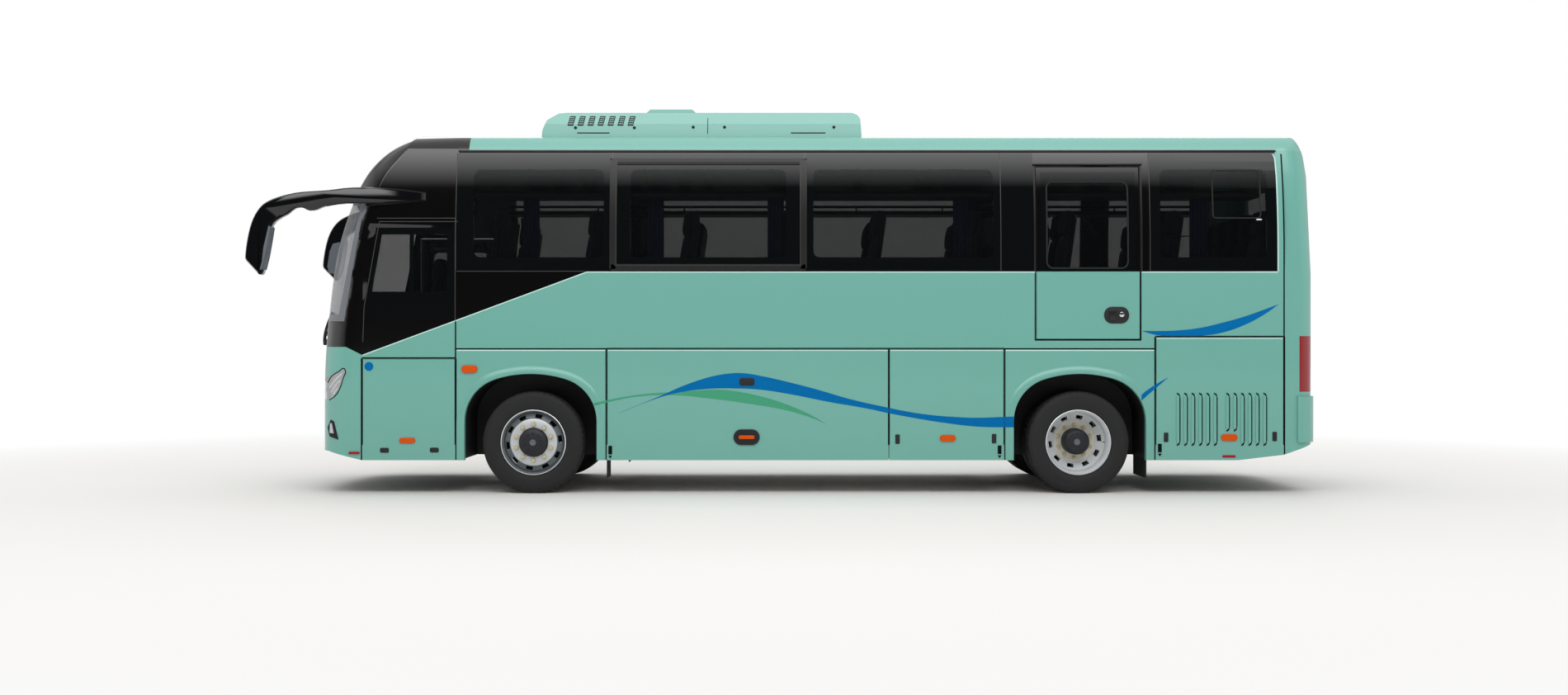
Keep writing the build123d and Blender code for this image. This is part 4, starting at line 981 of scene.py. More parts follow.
# ---- body
@dataclass
class Bodywork(Assembly):
    """Paint on the construction's panels, with seams, pale strips of painted highlight along edges, and the
    gutter.
    """
    # How deep a strip lies under the skin, and how far it stands out.
    flush: Span = (-0.004, 0.0008)
    sealed: Span = (-0.003, 0.0008)
    moulded: Span = (-0.002, 0.002)
    wide: float = 0.01
    half: float = 0.0065
    line_half: float = 0.0035
    bead: float = 0.011
    gutter_x: Span = (-3.02, 4.452)
    seal: float = 0.006
    hinge_gap: float = 0.002
    service_top: float = 1.232
    engine_top: float = 1.427
    leaves: tuple[str, ...] = ("luggage_door_long", "luggage_door_short", "engine_flap", "service_flap")
    straight_x: Span = (-3.75, 4.42)
    flat_tops: Numbers = (1.98, 2.03, 2.195)
    curved: tuple[str, ...] = (
        "left_side_wall", "right_side_wall", "side_windows", "roof", "front_dome", "front_panel",
        "windscreen", "windscreen_surround", "rear_panel", "rear_window", "rear_bumper", "emergency_door",
        "emergency_door_glass", "passenger_door", "passenger_door_glass", "engine_door",
    )

    def build(self) -> None:
        """Paints the nodes and adds the lines between the panels."""
        bodies = {empty: body for body, empty in frame["bodies"].items()}
        for node, piece in frame["nodes"].items():
            finish = NODE_FINISHES.get(node, PLASTIC)
            slot = piece.material_slots[0]
            slot.link = "OBJECT"
            slot.material = finish.material()
            if node in self.curved:
                shape = Shape.of_node(node).sliced(2, self.flat_tops)
                skin = shape.piece(f"{node}_skin", finish, bodies[piece.parent], [node], sharp=24)
                self.steadied(skin.data)
        for side in Side:
            self.seams(side)
        self.seals()
        self.driver_window()
        self.belt_moulding()
        self.gutter()

    def steadied(self, mesh: bpy.types.Mesh) -> None:
        """Gives the flat and the gently curved sides the normals of their true curve.

        Args:
            mesh: The mesh of a side's skin.
        """
        normals = [tuple(corner.vector) for corner in mesh.corner_normals]
        for face in mesh.polygons:
            for loop in face.loop_indices:
                place = mesh.vertices[mesh.loops[loop].vertex_index].co
                sine = min(max((place.z - LAYOUT.shoulder) / LAYOUT.side_radius, 0.0), 1.0)
                outward = Vector((0, math.copysign(math.sqrt(1 - sine * sine), place.y), sine))
                along = face.normal.dot(outward)
                if abs(along) > 0.993 and self.straight_x[0] < place.x < self.straight_x[1]:
                    normals[loop] = tuple(outward * math.copysign(1, along))
        mesh.normals_split_custom_set(normals)

    def upright(self, side: Side) -> list[Row]:
        """The upright joints, dark only on the fixed side where a leaf lies on the other.

        Args:
            side: The side of the coach.

        Returns:
            Rows of first x, last x, lowest z and highest z.
        """
        front, mask, rear = LAYOUT.front_joint_x, LAYOUT.mask_x, LAYOUT.rear_joint_x
        foot, top, wide = LAYOUT.skirt + 0.002, LAYOUT.panel_top, self.wide
        door_top = self.service_top if side is Side.LEFT else 2.48
        return [
            (front - 0.001, front + wide, foot, door_top),
            (front - self.half, front + self.half, door_top, 1.57),
            (mask - wide, mask + 0.001, foot, door_top), (rear - 0.001, rear + wide, 0.36, self.engine_top),
            (rear - self.half, rear + self.half, self.engine_top, LAYOUT.gutter - 0.03),
            (-1.657 - wide, -1.658, foot, top), (1.96, 1.959 + wide, foot, top),
            (3.331 - wide, 3.33, foot, self.engine_top),
        ]

    def level(self, side: Side) -> list[Row]:
        """The level joints.

        Args:
            side: The side of the coach.

        Returns:
            Rows of first x, last x, lowest z and highest z.
        """
        front, top = LAYOUT.front_joint_x, LAYOUT.panel_top
        rows = [
            (front, -1.657, top - self.half, top + self.half), (-1.657, 1.959, top, top + self.wide),
            (1.959, 3.331, top - self.half, top + self.half),
            (3.331, LAYOUT.rear_joint_x, self.engine_top, self.engine_top + self.wide),
        ]
        if side is Side.LEFT:
            rows.append((LAYOUT.mask_x, front, self.service_top, self.service_top + self.wide))
        return rows

    def seams(self, side: Side) -> None:
        """Draws the joints as slim dark strips, with a pale strip of painted highlight under the long level
        one.
        """
        shape, edge, low_top = Shape(), Shape(), LAYOUT.panel_top - 0.019
        for start, end, low, high in self.upright(side) + self.level(side):
            shape.box((start, end), self.flush, (low, high))
        # The pale strips under the long level joint are a painted highlight of the panels' top edge.
        for start, end in ((LAYOUT.front_joint_x + 0.012, -1.668), (1.97, 3.32)):
            edge.box((start, end), self.flush, (low_top, low_top + 0.0115))
        if side is Side.LEFT:
            low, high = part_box("emergency_door")
            gap, wide = 0.001, self.wide
            shape.box((low.x - gap - wide, low.x - gap), self.flush, (low.z - wide, high.z))
            shape.box((high.x + gap, high.x + gap + wide), self.flush, (low.z - wide, high.z))
            shape.box((low.x - gap, high.x + gap), self.flush, (low.z - gap - wide, low.z - gap))
        shape.sliced(2, BENDS).laid("panel_seams", SEAM, side)
        edge.laid("seam_edges", PALE_TEAL_AND_HIGHLIGHT, side)

    def seals(self) -> None:
        """Lines the edges of the doors and flaps with a slim dark seal and a pale strip of painted highlight
        along the top edge.
        """
        for name in self.leaves:
            for side in Side:
                node = f"{side.label}_{name}"
                if node not in frame["nodes"]:
                    continue
                low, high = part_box(node)
                foot, head = low.z - 0.02, high.z - self.hinge_gap
                ring = Shape().frame((low.x, high.x), self.sealed, (foot, head), 0.001, self.seal)
                ring.kept(2, (low.z + 0.14, 9.0)).on_side(side).piece(f"{node}_seal", SEAM, node)
                # Every leaf but the service flap gets a pale strip along its top edge: a painted highlight.
                if name != "service_flap":
                    edge = Shape().box((low.x + 0.008, high.x - 0.008), self.sealed,
                                       (high.z - 0.018, high.z - 0.0075))
                    edge.on_side(side).piece(f"{node}_edge", PALE_TEAL_AND_HIGHLIGHT, node)
        low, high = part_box("emergency_door")
        ring = Shape().frame((low.x + self.hinge_gap, high.x), self.sealed, (low.z, high.z), 0.001, self.seal)
        ring.sliced(2, BENDS).on_side(Side.LEFT).piece("emergency_door_seal", SEAM, "emergency_door")

    def driver_window(self) -> None:
        """Draws slim grey lines, a painted highlight of the edges, round the driver's window and over the
        black wedge.
        """
        rings = (
            [(-3.01, 2.475), (-3.722, 2.475), (-3.86, 1.7), (-3.872, 1.38)],
            [(-3.033, 1.58), (-3.033, 2.506), (-3.745, 2.506)],
            [(-3.02, 2.023), (-1.85, 2.023)],
            [(-3.029, 2.03), (-3.029, 3.11)],
            [(1.928, 2.03), (1.928, 3.11)],
            [(3.284, 2.03), (3.284, 3.11)],
        )
        for side in Side:
            shape = Shape()
            for path in rings if side is Side.LEFT else rings[2:]:
                for (x, z), (end_x, end_z) in zip(path, path[1:]):
                    along = Vector((end_x - x, 0, end_z - z)).normalized() * self.line_half
                    across = Vector((-along.z, 0, along.x))
                    shape.outline([(px + way * across.x, pz + way * across.z) for px, pz, way in (
                        (x, z, -1), (x, z, 1), (end_x, end_z, 1), (end_x, end_z, -1))], (-0.003, 0.0014))
            shape.sliced(2, BENDS).laid("window_lines", FRAME_HIGHLIGHT, side)

    def belt_moulding(self) -> None:
        """Adds the pale strip of painted highlight along the top edge of the teal paint, and a pale line of
        painted highlight at the glass band's rear end.
        """
        runs = ((-1.837, 2.238), (3.206, 4.441))
        foot, drop = LAYOUT.belt - self.bead, self.bead
        for side in Side:
            shape = Shape()
            for start, end in runs if side is Side.LEFT else ((-1.837, 4.441),):
                shape.box((start, end), self.moulded, (foot, LAYOUT.belt))
            shape.outline([(-1.837, 2.02), (-1.837, foot), (-3.028, 1.578 - drop), (-3.028, 1.578)],
                          self.moulded)
            if side is Side.LEFT:
                shape.outline([(-3.034, 1.576), (-3.034, 1.576 - drop), (-3.876, 1.264 - drop),
                               (-3.876, 1.264)], (-0.002, 0.003))
            shape.laid("belt_moulding", PALE_TEAL_AND_HIGHLIGHT, side)
            # The pale line at the glass band's rear end is a painted highlight of the rounded edge there.
            path = [(4.447, 2.022), (4.447, 2.9), (4.441, 3.06), (4.425, 3.1)]
            line = Shape()
            for (x, low), (top_x, high) in zip(path, path[1:]):
                line.outline([(x - 0.006, low), (x + 0.006, low), (top_x + 0.006, high),
                              (top_x - 0.006, high)], self.moulded)
            line.sliced(2, BENDS).laid("glass_end_line", PALE_TEAL_AND_HIGHLIGHT, side)

    def gutter(self) -> None:
        """Adds the rain gutter over each side."""
        for side in Side:
            shape = Shape().box(self.gutter_x, (-0.004, 0.014), (3.118, 3.136), 0.004)
            shape.laid("rain_gutter", SATIN, side)


@dataclass
class ArchFlares(Assembly):
    """Rounded flares round the four wheel openings."""
    half_width: float = 0.6
    shoulder_z: float = 0.66
    shoulder: float = 0.4
    top_z: float = 1.09
    width: float = 0.075
    # Each row: share of the width out from the opening, height over the skin.
    section: Line = (
        (0.0, -0.004), (0.0, 0.014), (0.08, 0.021), (0.2, 0.0245), (0.4, 0.0215), (0.65, 0.015),
        (0.8, 0.0105), (0.93, 0.0045), (1.0, 0.0006), (1.0, -0.004),
    )
    centres: Numbers = (-2.346, 2.643)

    def edge(self, grow: float) -> list[Point]:
        """The opening's edge in side view, from its front foot to its rear foot.

        Args:
            grow: How far outside the opening the line lies.

        Returns:
            The (x, z) points round the opening's middle.
        """
        half, shoulder = self.half_width + grow, self.shoulder + grow
        reach, rise = self.half_width - self.shoulder, self.top_z + grow - self.shoulder_z
        top = (reach ** 2 + rise ** 2 - shoulder ** 2) / (2 * (rise - shoulder))
        middle_z = self.top_z + grow - top
        turn = math.atan2(self.shoulder_z - middle_z, reach)
        points = [(half, LAYOUT.skirt + 0.003)]
        for angle in [turn * k / 12 for k in range(13)]:
            points.append((reach + shoulder * math.cos(angle), self.shoulder_z + shoulder * math.sin(angle)))
        for angle in [(math.pi / 2 - turn) * (1 - k / 12) for k in range(1, 13)]:
            points.append((top * math.sin(angle), middle_z + top * math.cos(angle)))
        return [(-x, z) for x, z in points] + [(x, z) for x, z in reversed(points[:-1])]

    def build(self) -> None:
        """Builds the flares on both sides."""
        lines = [(self.edge(self.width * share), high) for share, high in self.section]
        for side in Side:
            for centre in self.centres:
                rings = [[(centre + line[k][0], LAYOUT.half_width + high, line[k][1]) for line, high in lines]
                         for k in range(len(lines[0][0]))]
                Shape().loft(rings).facing(side).piece(f"arch_flare_{side.label}_{centre:.1f}", PAINT)

    @staticmethod
    def skin() -> Skin:
        """The outer surface of the sides with the flares, once they are built."""
        flares = [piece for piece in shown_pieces() if piece.name.startswith("arch_flare")]
        return Skin(*flares, "left_side_wall", "right_side_wall", "arch_panels")


@dataclass
class Glazing(Assembly):
    """Frames and seals of the windows."""
    # Each row: name, x, how far it stands out, z, outer corner, width of the bars, finish.
    frames: Rows = (
        ("framed_window", (-1.63, 0.164), 0.01, (2.03, 3.058), 0.012, 0.058, FRAME),
        # The thin grey line inside the frame is a painted highlight of its inner edge.
        ("framed_window_line", (-1.574, 0.108), 0.012, (2.074, 3.036), 0.004, 0.007, FRAME_HIGHLIGHT),
        ("vent_window_frame", (3.851, 4.297), 0.004, (2.502, 2.953), 0.035, 0.012, RUBBER),
    )

    def build(self) -> None:
        """Adds the raised window frame, the vent window and the doors' seals."""
        for side in Side:
            for name, x, proud, z, corner, width, finish in self.frames:
                shape = Shape().frame(x, (-0.002, proud), z, corner, width)
                shape.sliced(2, BENDS).laid(name, finish, side)
            shape = Shape().pad((4.25, 4.3), (-0.002, 0.01), (2.487, 2.499), 0.005, 0.002)
            shape.laid("vent_window_catch", PALE_METAL_AND_HIGHLIGHT, side)
        shape = Shape().frame((2.338, 3.089), (-0.002, 0.008), (2.044, 2.847), 0.066, 0.014)
        shape.sliced(2, BENDS).on_side(Side.LEFT).piece("emergency_window_seal", RUBBER, "emergency_door")
        shape = Shape().box((2.225, 3.222), (-0.004, 0.022), (2.996, 3.01), 0.004)
        shape.on_side(Side.LEFT).piece("emergency_door_drip_rail", SATIN)
        for x in (2.236, 3.206):
            shape = Shape().box((x - 0.008, x + 0.008), (-0.003, 0.004), (LAYOUT.belt, 2.99))
            shape.sliced(2, BENDS).on_side(Side.LEFT).piece(f"emergency_door_jamb_{x:.1f}", SATIN)


@dataclass
class Stripe:
    """One painted stripe: its edges in side view and its colour."""
    name: str
    finish: Finish
    upper: Line
    lower: Line
    runs: tuple[tuple[str, float, float, float | None], ...]

    def laid(self, flares: Skin) -> None:
        """Lays the stripe on both sides, one piece for each body it crosses.

        Args:
            flares: The wheel openings' flares, which a run of no fixed height follows.
        """
        for side in Side:
            for body, start, end, proud in self.runs:
                shape = Shape().flat(self.upper, self.lower, LAYOUT.half_width + (proud or 0.0))
                shape.kept(0, (start, end)).facing(side)
                if proud is None:
                    shape.sliced(0, [start + 0.006 * k for k in range(1, int((end - start) / 0.006) + 1)])
                    for vertex in shape.mesh.verts:
                        place, _ = flares.hit((vertex.co.x, 3 * side.value, vertex.co.z), (0, -side.value, 0))
                        vertex.co.y = place.y + 0.0012 * side.value
                shape.piece(f"{self.name}_{side.label}_{start:.2f}", self.finish, side.own(body))


@dataclass
class Stripes(Assembly):
    """The painted waves along both sides."""
    thin: float = 0.0006
    split: float = 0.0008

    def build(self) -> None:
        """Lays the three waves."""
        gap, flares = 0.003, ArchFlares.skin()
        thin, over = self.thin + 0.0004, self.thin + self.split
        Stripe(
            "green_wave", GREEN,
            ((-1.8, 0.815), (-1.694, 0.842), (-1.349, 0.902), (-0.922, 0.932), (-0.659, 0.947),
             (-0.486, 0.932), (-0.231, 0.88), (0.031, 0.793), (0.203, 0.715), (0.331, 0.64)),
            ((-1.8, 0.79), (-1.694, 0.82), (-1.349, 0.887), (-1.004, 0.895), (-0.801, 0.876),
             (-0.576, 0.85), (-0.314, 0.812), (-0.059, 0.767), (0.203, 0.693), (0.331, 0.639)),
            (("root", -1.768, -1.657, None),
             (LONG_DOOR, -1.657 + gap, 0.34, thin)),
        ).laid(flares)
        Stripe(
            "blue_wave", BLUE,
            ((-1.537, 0.737), (-1.161, 0.893), (-0.951, 0.985), (-0.726, 1.06), (-0.576, 1.09),
             (-0.419, 1.097), (-0.231, 1.067), (0.031, 1.007), (0.286, 0.94), (0.541, 0.865),
             (0.908, 0.782), (1.118, 0.741), (1.306, 0.715), (1.501, 0.7), (1.688, 0.692), (2.06, 0.705)),
            ((-1.537, 0.736), (-1.161, 0.88), (-0.974, 0.925), (-0.726, 0.955), (-0.486, 0.958),
             (-0.261, 0.947), (0.031, 0.902), (0.368, 0.835), (0.713, 0.775), (0.908, 0.733),
             (1.163, 0.685), (1.403, 0.647), (1.643, 0.617), (1.831, 0.606), (2.06, 0.606)),
            ((LONG_DOOR, -1.54, 0.909 - gap, over), (SHORT_DOOR, 0.909 + gap, 1.959 - gap, thin),
             ("root", 1.959, 2.0425, None)),
        ).laid(flares)
        Stripe(
            "blue_tail", BLUE,
            ((3.15, 0.862), (3.27, 0.952), (3.36, 1.01), (3.451, 1.06)),
            ((3.15, 0.81), (3.27, 0.905), (3.36, 0.982), (3.451, 1.059)),
            (("root", 3.199, 3.331, None),
             (ENGINE_FLAP, 3.331 + gap, 3.46, thin)),
        ).laid(flares)
        Stripe(
            "upper_wave", BLUE,
            ((3.211, 1.481), (3.361, 1.48), (3.556, 1.487), (3.743, 1.51), (3.938, 1.555),
             (4.126, 1.607), (4.321, 1.675), (4.452, 1.724)),
            ((3.211, 1.479), (3.338, 1.444), (3.556, 1.435), (3.803, 1.442), (3.938, 1.465),
             (4.126, 1.528), (4.321, 1.63), (4.452, 1.723)),
            (("root", 3.2, 4.46, thin),),
        ).laid(flares)


@dataclass
class SideFittings(Assembly):
    """Latches, marker lamps, handles, reflectors and louvres of both sides."""
    # Each row: name, middle x, middle z, width, height, corner, how far it stands out, finish, body.
    pads: Rows = (
        ("side_repeater", -2.902, 1.134, 0.146, 0.07, 0.034, 0.02, AMBER, "root"),
        ("flap_marker", -3.468, 0.485, 0.146, 0.049, 0.022, 0.014, AMBER, SERVICE_FLAP),
        ("flap_latch_front", -3.675, 0.396, 0.081, 0.045, 0.014, 0.006, PLASTIC, SERVICE_FLAP),
        ("flap_latch_rear", -3.222, 0.398, 0.081, 0.045, 0.014, 0.006, PLASTIC, SERVICE_FLAP),
        ("nose_reflector", -3.95, 0.372, 0.101, 0.022, 0.008, 0.012, RED, "root"),
        ("bay_lock", -0.381, 1.018, 0.136, 0.07, 0.022, 0.008, PLASTIC, LONG_DOOR),
        ("bay_latch_front", 0.988, 0.497, 0.041, 0.086, 0.008, 0.006, PLASTIC, SHORT_DOOR),
        ("bay_latch_rear", 1.865, 0.502, 0.041, 0.086, 0.008, 0.006, PLASTIC, SHORT_DOOR),
        ("bay_marker", 1.444, 0.505, 0.143, 0.062, 0.028, 0.014, AMBER, SHORT_DOOR),
        ("engine_latch_front", 3.428, 0.514, 0.041, 0.086, 0.008, 0.006, PLASTIC, ENGINE_FLAP),
        ("engine_latch_rear", 4.415, 0.521, 0.041, 0.086, 0.008, 0.006, PLASTIC, ENGINE_FLAP),
        ("engine_marker", 4.002, 0.512, 0.15, 0.062, 0.028, 0.014, AMBER, ENGINE_FLAP),
        ("engine_reflector", 4.0, 0.341, 0.12, 0.022, 0.008, 0.006, RED, ENGINE_FLAP),
    )
    handle: Point = (-0.384, 0.515)
    jacks: tuple[tuple[float, float, str], ...] = (
        (-1.623, 0.379, LONG_DOOR), (1.915, 0.382, SHORT_DOOR),
        (3.371, 0.398, ENGINE_FLAP),
    )
    louvre_xs: Numbers = tuple(start + 0.0675 * k for start in (3.541, 3.991) for k in range(6))
    louvre_z: Span = (0.44, 0.915)

    def build(self) -> None:
        """Adds the fittings, those of the service flap on the driver's side only."""
        for side in Side:
            for name, x, z, width, height, corner, proud, finish, body in self.pads:
                if side is Side.RIGHT and body == SERVICE_FLAP:
                    continue
                shape = Shape().pad((x - width / 2, x + width / 2), (-0.004, proud),
                                    (z - height / 2, z + height / 2), corner, min(proud, corner) * 0.5)
                shape.laid(name, finish, side, body)
            self.bay_handle(side)
            self.louvres(side)
            for x, z, body in self.jacks:
                shape = Shape().pad((x - 0.017, x + 0.017), (-0.003, 0.004), (z - 0.02, z + 0.058), 0.006)
                arrow = [(x - 0.017, z - 0.032), (x + 0.017, z - 0.032), (x, z - 0.058)]
                shape.outline(arrow, (-0.003, 0.004))
                shape.laid(f"jack_mark_{x:.1f}", SEAM, side, body)
        self.emergency_handle()
        disc = Shape().rod((-3.816, -0.002, 1.158), (-3.816, 0.003, 1.158), 0.04, segments=40)
        disc.on_side(Side.LEFT).piece("service_flap_blank_disc", BLUE, SERVICE_FLAP)

    def bay_handle(self, side: Side) -> None:
        """Adds the luggage door's round handle with its amber light."""
        x, z = self.handle
        ring = Shape().frame((x - 0.119, x + 0.119), (-0.003, 0.012), (z - 0.071, z + 0.071), 0.07, 0.022)
        ring.laid("bay_handle_ring", PLASTIC, side, LONG_DOOR)
        tray = Shape().pad((x - 0.1, x + 0.1), (-0.003, 0.003), (z - 0.052, z + 0.052), 0.051)
        tray.laid("bay_handle_tray", SATIN, side, LONG_DOOR)
        bar = Shape().pad((x - 0.072, x + 0.072), (-0.002, 0.012), (z - 0.017, z + 0.017), 0.012, 0.004)
        bar.laid("bay_handle_light", AMBER, side, LONG_DOOR)

    def emergency_handle(self) -> None:
        """Adds the emergency door's handle in its oval tray."""
        x, z = 2.978, 1.624
        tray = Shape().pad((x - 0.113, x + 0.113), (-0.003, 0.01), (z - 0.076, z + 0.076), 0.07, 0.006)
        grip = Shape().box((x - 0.07, x - 0.005), (0.008, 0.022), (z - 0.05, z + 0.05), 0.008)
        lock = Shape().rod((x + 0.045, 0.008, z + 0.005), (x + 0.045, 0.02, z + 0.005), 0.024, edge=0.004)
        for name, shape, finish in (("tray", tray, PLASTIC), ("grip", grip, SATIN), ("lock", lock, CHROME)):
            shape.on_side(Side.LEFT).piece(f"emergency_handle_{name}", finish, "emergency_door")

    def louvres(self, side: Side) -> None:
        """Adds the pressed louvres of the engine flap, each a hood over a dark hooked slot."""
        low, high = self.louvre_z
        hoods, slots = Shape(), Shape()
        for k, x in enumerate(self.louvre_xs):
            foot = low + 0.13 if k in (6, 7) else low
            hoods.pad((x - 0.022, x + 0.008), (-0.004, 0.012), (foot + 0.02, high - 0.02), 0.014, 0.008)
            path = [(x - 0.014, 0, high), (x + 0.004, 0, high - 0.012), (x + 0.012, 0, high - 0.045),
                    (x + 0.012, 0, foot + 0.045), (x + 0.004, 0, foot + 0.012), (x - 0.014, 0, foot)]
            slots.pipe(path, 0.0068, smooth=False)
        hoods.laid("louvre_hoods", PAINT, side, ENGINE_FLAP)
        slots.laid("louvre_slots", SEAM, side, ENGINE_FLAP)


# ---- wheels
@dataclass
class TyreTread(Assembly):
    """Tyres with grooves round the tread and sipes on the shoulders."""
    radius: float = 0.465
    half_width: float = 0.1275
    bead_radius: float = 0.2995
    groove: float = 0.011
    # Each row: how far inside the radius and the half width, from the shoulder to the bead.
    sidewall: Line = (
        (0.003, 0.036), (0.006, 0.024), (0.016, 0.0125), (0.03, 0.0075), (0.034, 0.0065), (0.036, 0.0045),
        (0.044, 0.0025), (0.06, 0.001), (0.09, 0.0), (0.115, 0.0015), (0.13, 0.004), (0.142, 0.009),
        (0.146, 0.011), (0.152, 0.011), (0.16, 0.018),
    )
    steps: int = 150
    centres: tuple[tuple[str, str, Numbers], ...] = (
        ("front_{}_tyre", "front_{}_wheel", (1.083,)),
        ("rear_{}_tyres", "rear_{}_wheels", (1.083, 0.793)),
    )

    def half_profile(self) -> list[Point]:
        """The points from the middle of the tread to the bead, as (radius, offset).

        Returns:
            The points.
        """
        r, w = self.radius, self.half_width
        points = [(r, 0.0)]
        for groove_at in (0.026, 0.064):
            points += [(r, groove_at - 0.006), (r - self.groove, groove_at - 0.004),
                       (r - self.groove, groove_at + 0.004), (r - 0.001, groove_at + 0.006)]
        points += [(r - drop, w - inward) for drop, inward in self.sidewall]
        return points + [(self.bead_radius, w - 0.03), (self.bead_radius - 0.012, w - 0.032)]

    def build(self) -> None:
        """Builds every tyre from the same profile."""
        half = self.half_profile()
        profile = [(r, -y) for r, y in reversed(half[1:])] + half
        for side in Side:
            for (tyre, wheel, ys), x in zip(self.centres, (LAYOUT.front_axle_x, LAYOUT.rear_axle_x)):
                shape = Shape()
                for y in ys:
                    centre = (x, side.value * y, LAYOUT.axle_z)
                    one = Shape().spun(profile, centre, self.steps, closed=True)
                    self.press_slots(one, Vector(centre))
                    shape.add(one)
                node = tyre.format(side.label)
                shape.piece(f"{node}_tread", TYRE, wheel.format(side.label), [node], 32)

    def press_slots(self, shape: Shape, middle: Vector) -> None:
        """Presses short slots into both shoulders of a tyre.

        Args:
            shape: The tyre.
            middle: Its middle.
        """
        chosen = []
        for face in shape.mesh.faces:
            place = face.calc_center_median() - middle
            reach = math.hypot(place.x, place.z)
            step = round(math.atan2(place.z, place.x) / math.tau * self.steps - 0.5)
            on_shoulder = self.half_width - 0.036 < abs(place.y) < self.half_width - 0.01
            if on_shoulder and reach > self.radius - 0.014 and step % 3 == 0:
                chosen.append(face)
        bmesh.ops.inset_individual(shape.mesh, faces=chosen, thickness=0.003, use_even_offset=True)
        for face in chosen:
            for vertex in face.verts:
                out = vertex.co - middle
                out.y = 0
                vertex.co -= out.normalized() * 0.007


@dataclass(frozen=True)
class WheelKind:
    """The sizes of one kind of wheel. Profiles are (radius, y) outboard of its middle."""
    node: str
    middle: float
    rims: Numbers
    disc: Line
    channel: Line
    holes: Span
    cap: Line
    inner: tuple[Line, ...]
    nut_ring: float
    nut_foot: float
    disc_finish: Finish
    # The channel's and rim's finish, darker than the disc as painted shade.
    channel_finish: Finish


FRONT_WHEEL = WheelKind(
    node="front_{}_wheel", middle=1.083, rims=(1.083,),
    disc=((0.06, 0.088), (0.134, 0.0925), (0.152, 0.0925), (0.166, 0.0895), (0.204, 0.083), (0.2145, 0.077)),
    channel=((0.2145, 0.077), (0.2195, 0.07), (0.224, 0.0655), (0.26, 0.0525), (0.266, 0.049),
             (0.2725, 0.034)),
    holes=(0.226, 0.258),
    cap=((0.0, 0.1425), (0.096, 0.1395), (0.1, 0.137), (0.122, 0.129), (0.132, 0.113), (0.134, 0.09)),
    inner=(((0.185, -0.07), (0.2, -0.07), (0.2, 0.062), (0.1, 0.066), (0.1, 0.06), (0.185, 0.056)),
           ((0.204, -0.052), (0.268, -0.052), (0.268, -0.048), (0.204, -0.048)),
           ((0.056, -0.08), (0.075, -0.08), (0.075, 0.118), (0.056, 0.118))),
    nut_ring=0.165, nut_foot=0.0895, disc_finish=DISC, channel_finish=DISH_SHADE,
)
REAR_WHEEL = WheelKind(
    node="rear_{}_wheels", middle=0.938, rims=(1.083, 0.793),
    disc=((0.1, 0.008), (0.15, 0.008), (0.165, 0.014), (0.19, 0.0295)),
    channel=((0.19, 0.0295), (0.206, 0.0395), (0.211, 0.043), (0.247, 0.0675), (0.262, 0.081),
             (0.2725, 0.098)),
    holes=(0.213, 0.245),
    cap=((0.0, 0.187), (0.086, 0.184), (0.09, 0.182), (0.108, 0.17), (0.119, 0.152), (0.121, 0.01)),
    inner=(((0.085, -0.1), (0.11, -0.1), (0.11, 0.15), (0.085, 0.15)),
           ((0.114, -0.212), (0.268, -0.212), (0.268, -0.208), (0.114, -0.208))),
    nut_ring=0.156, nut_foot=0.011, disc_finish=CREAM_DISC, channel_finish=REAR_DISH_SHADE,
)


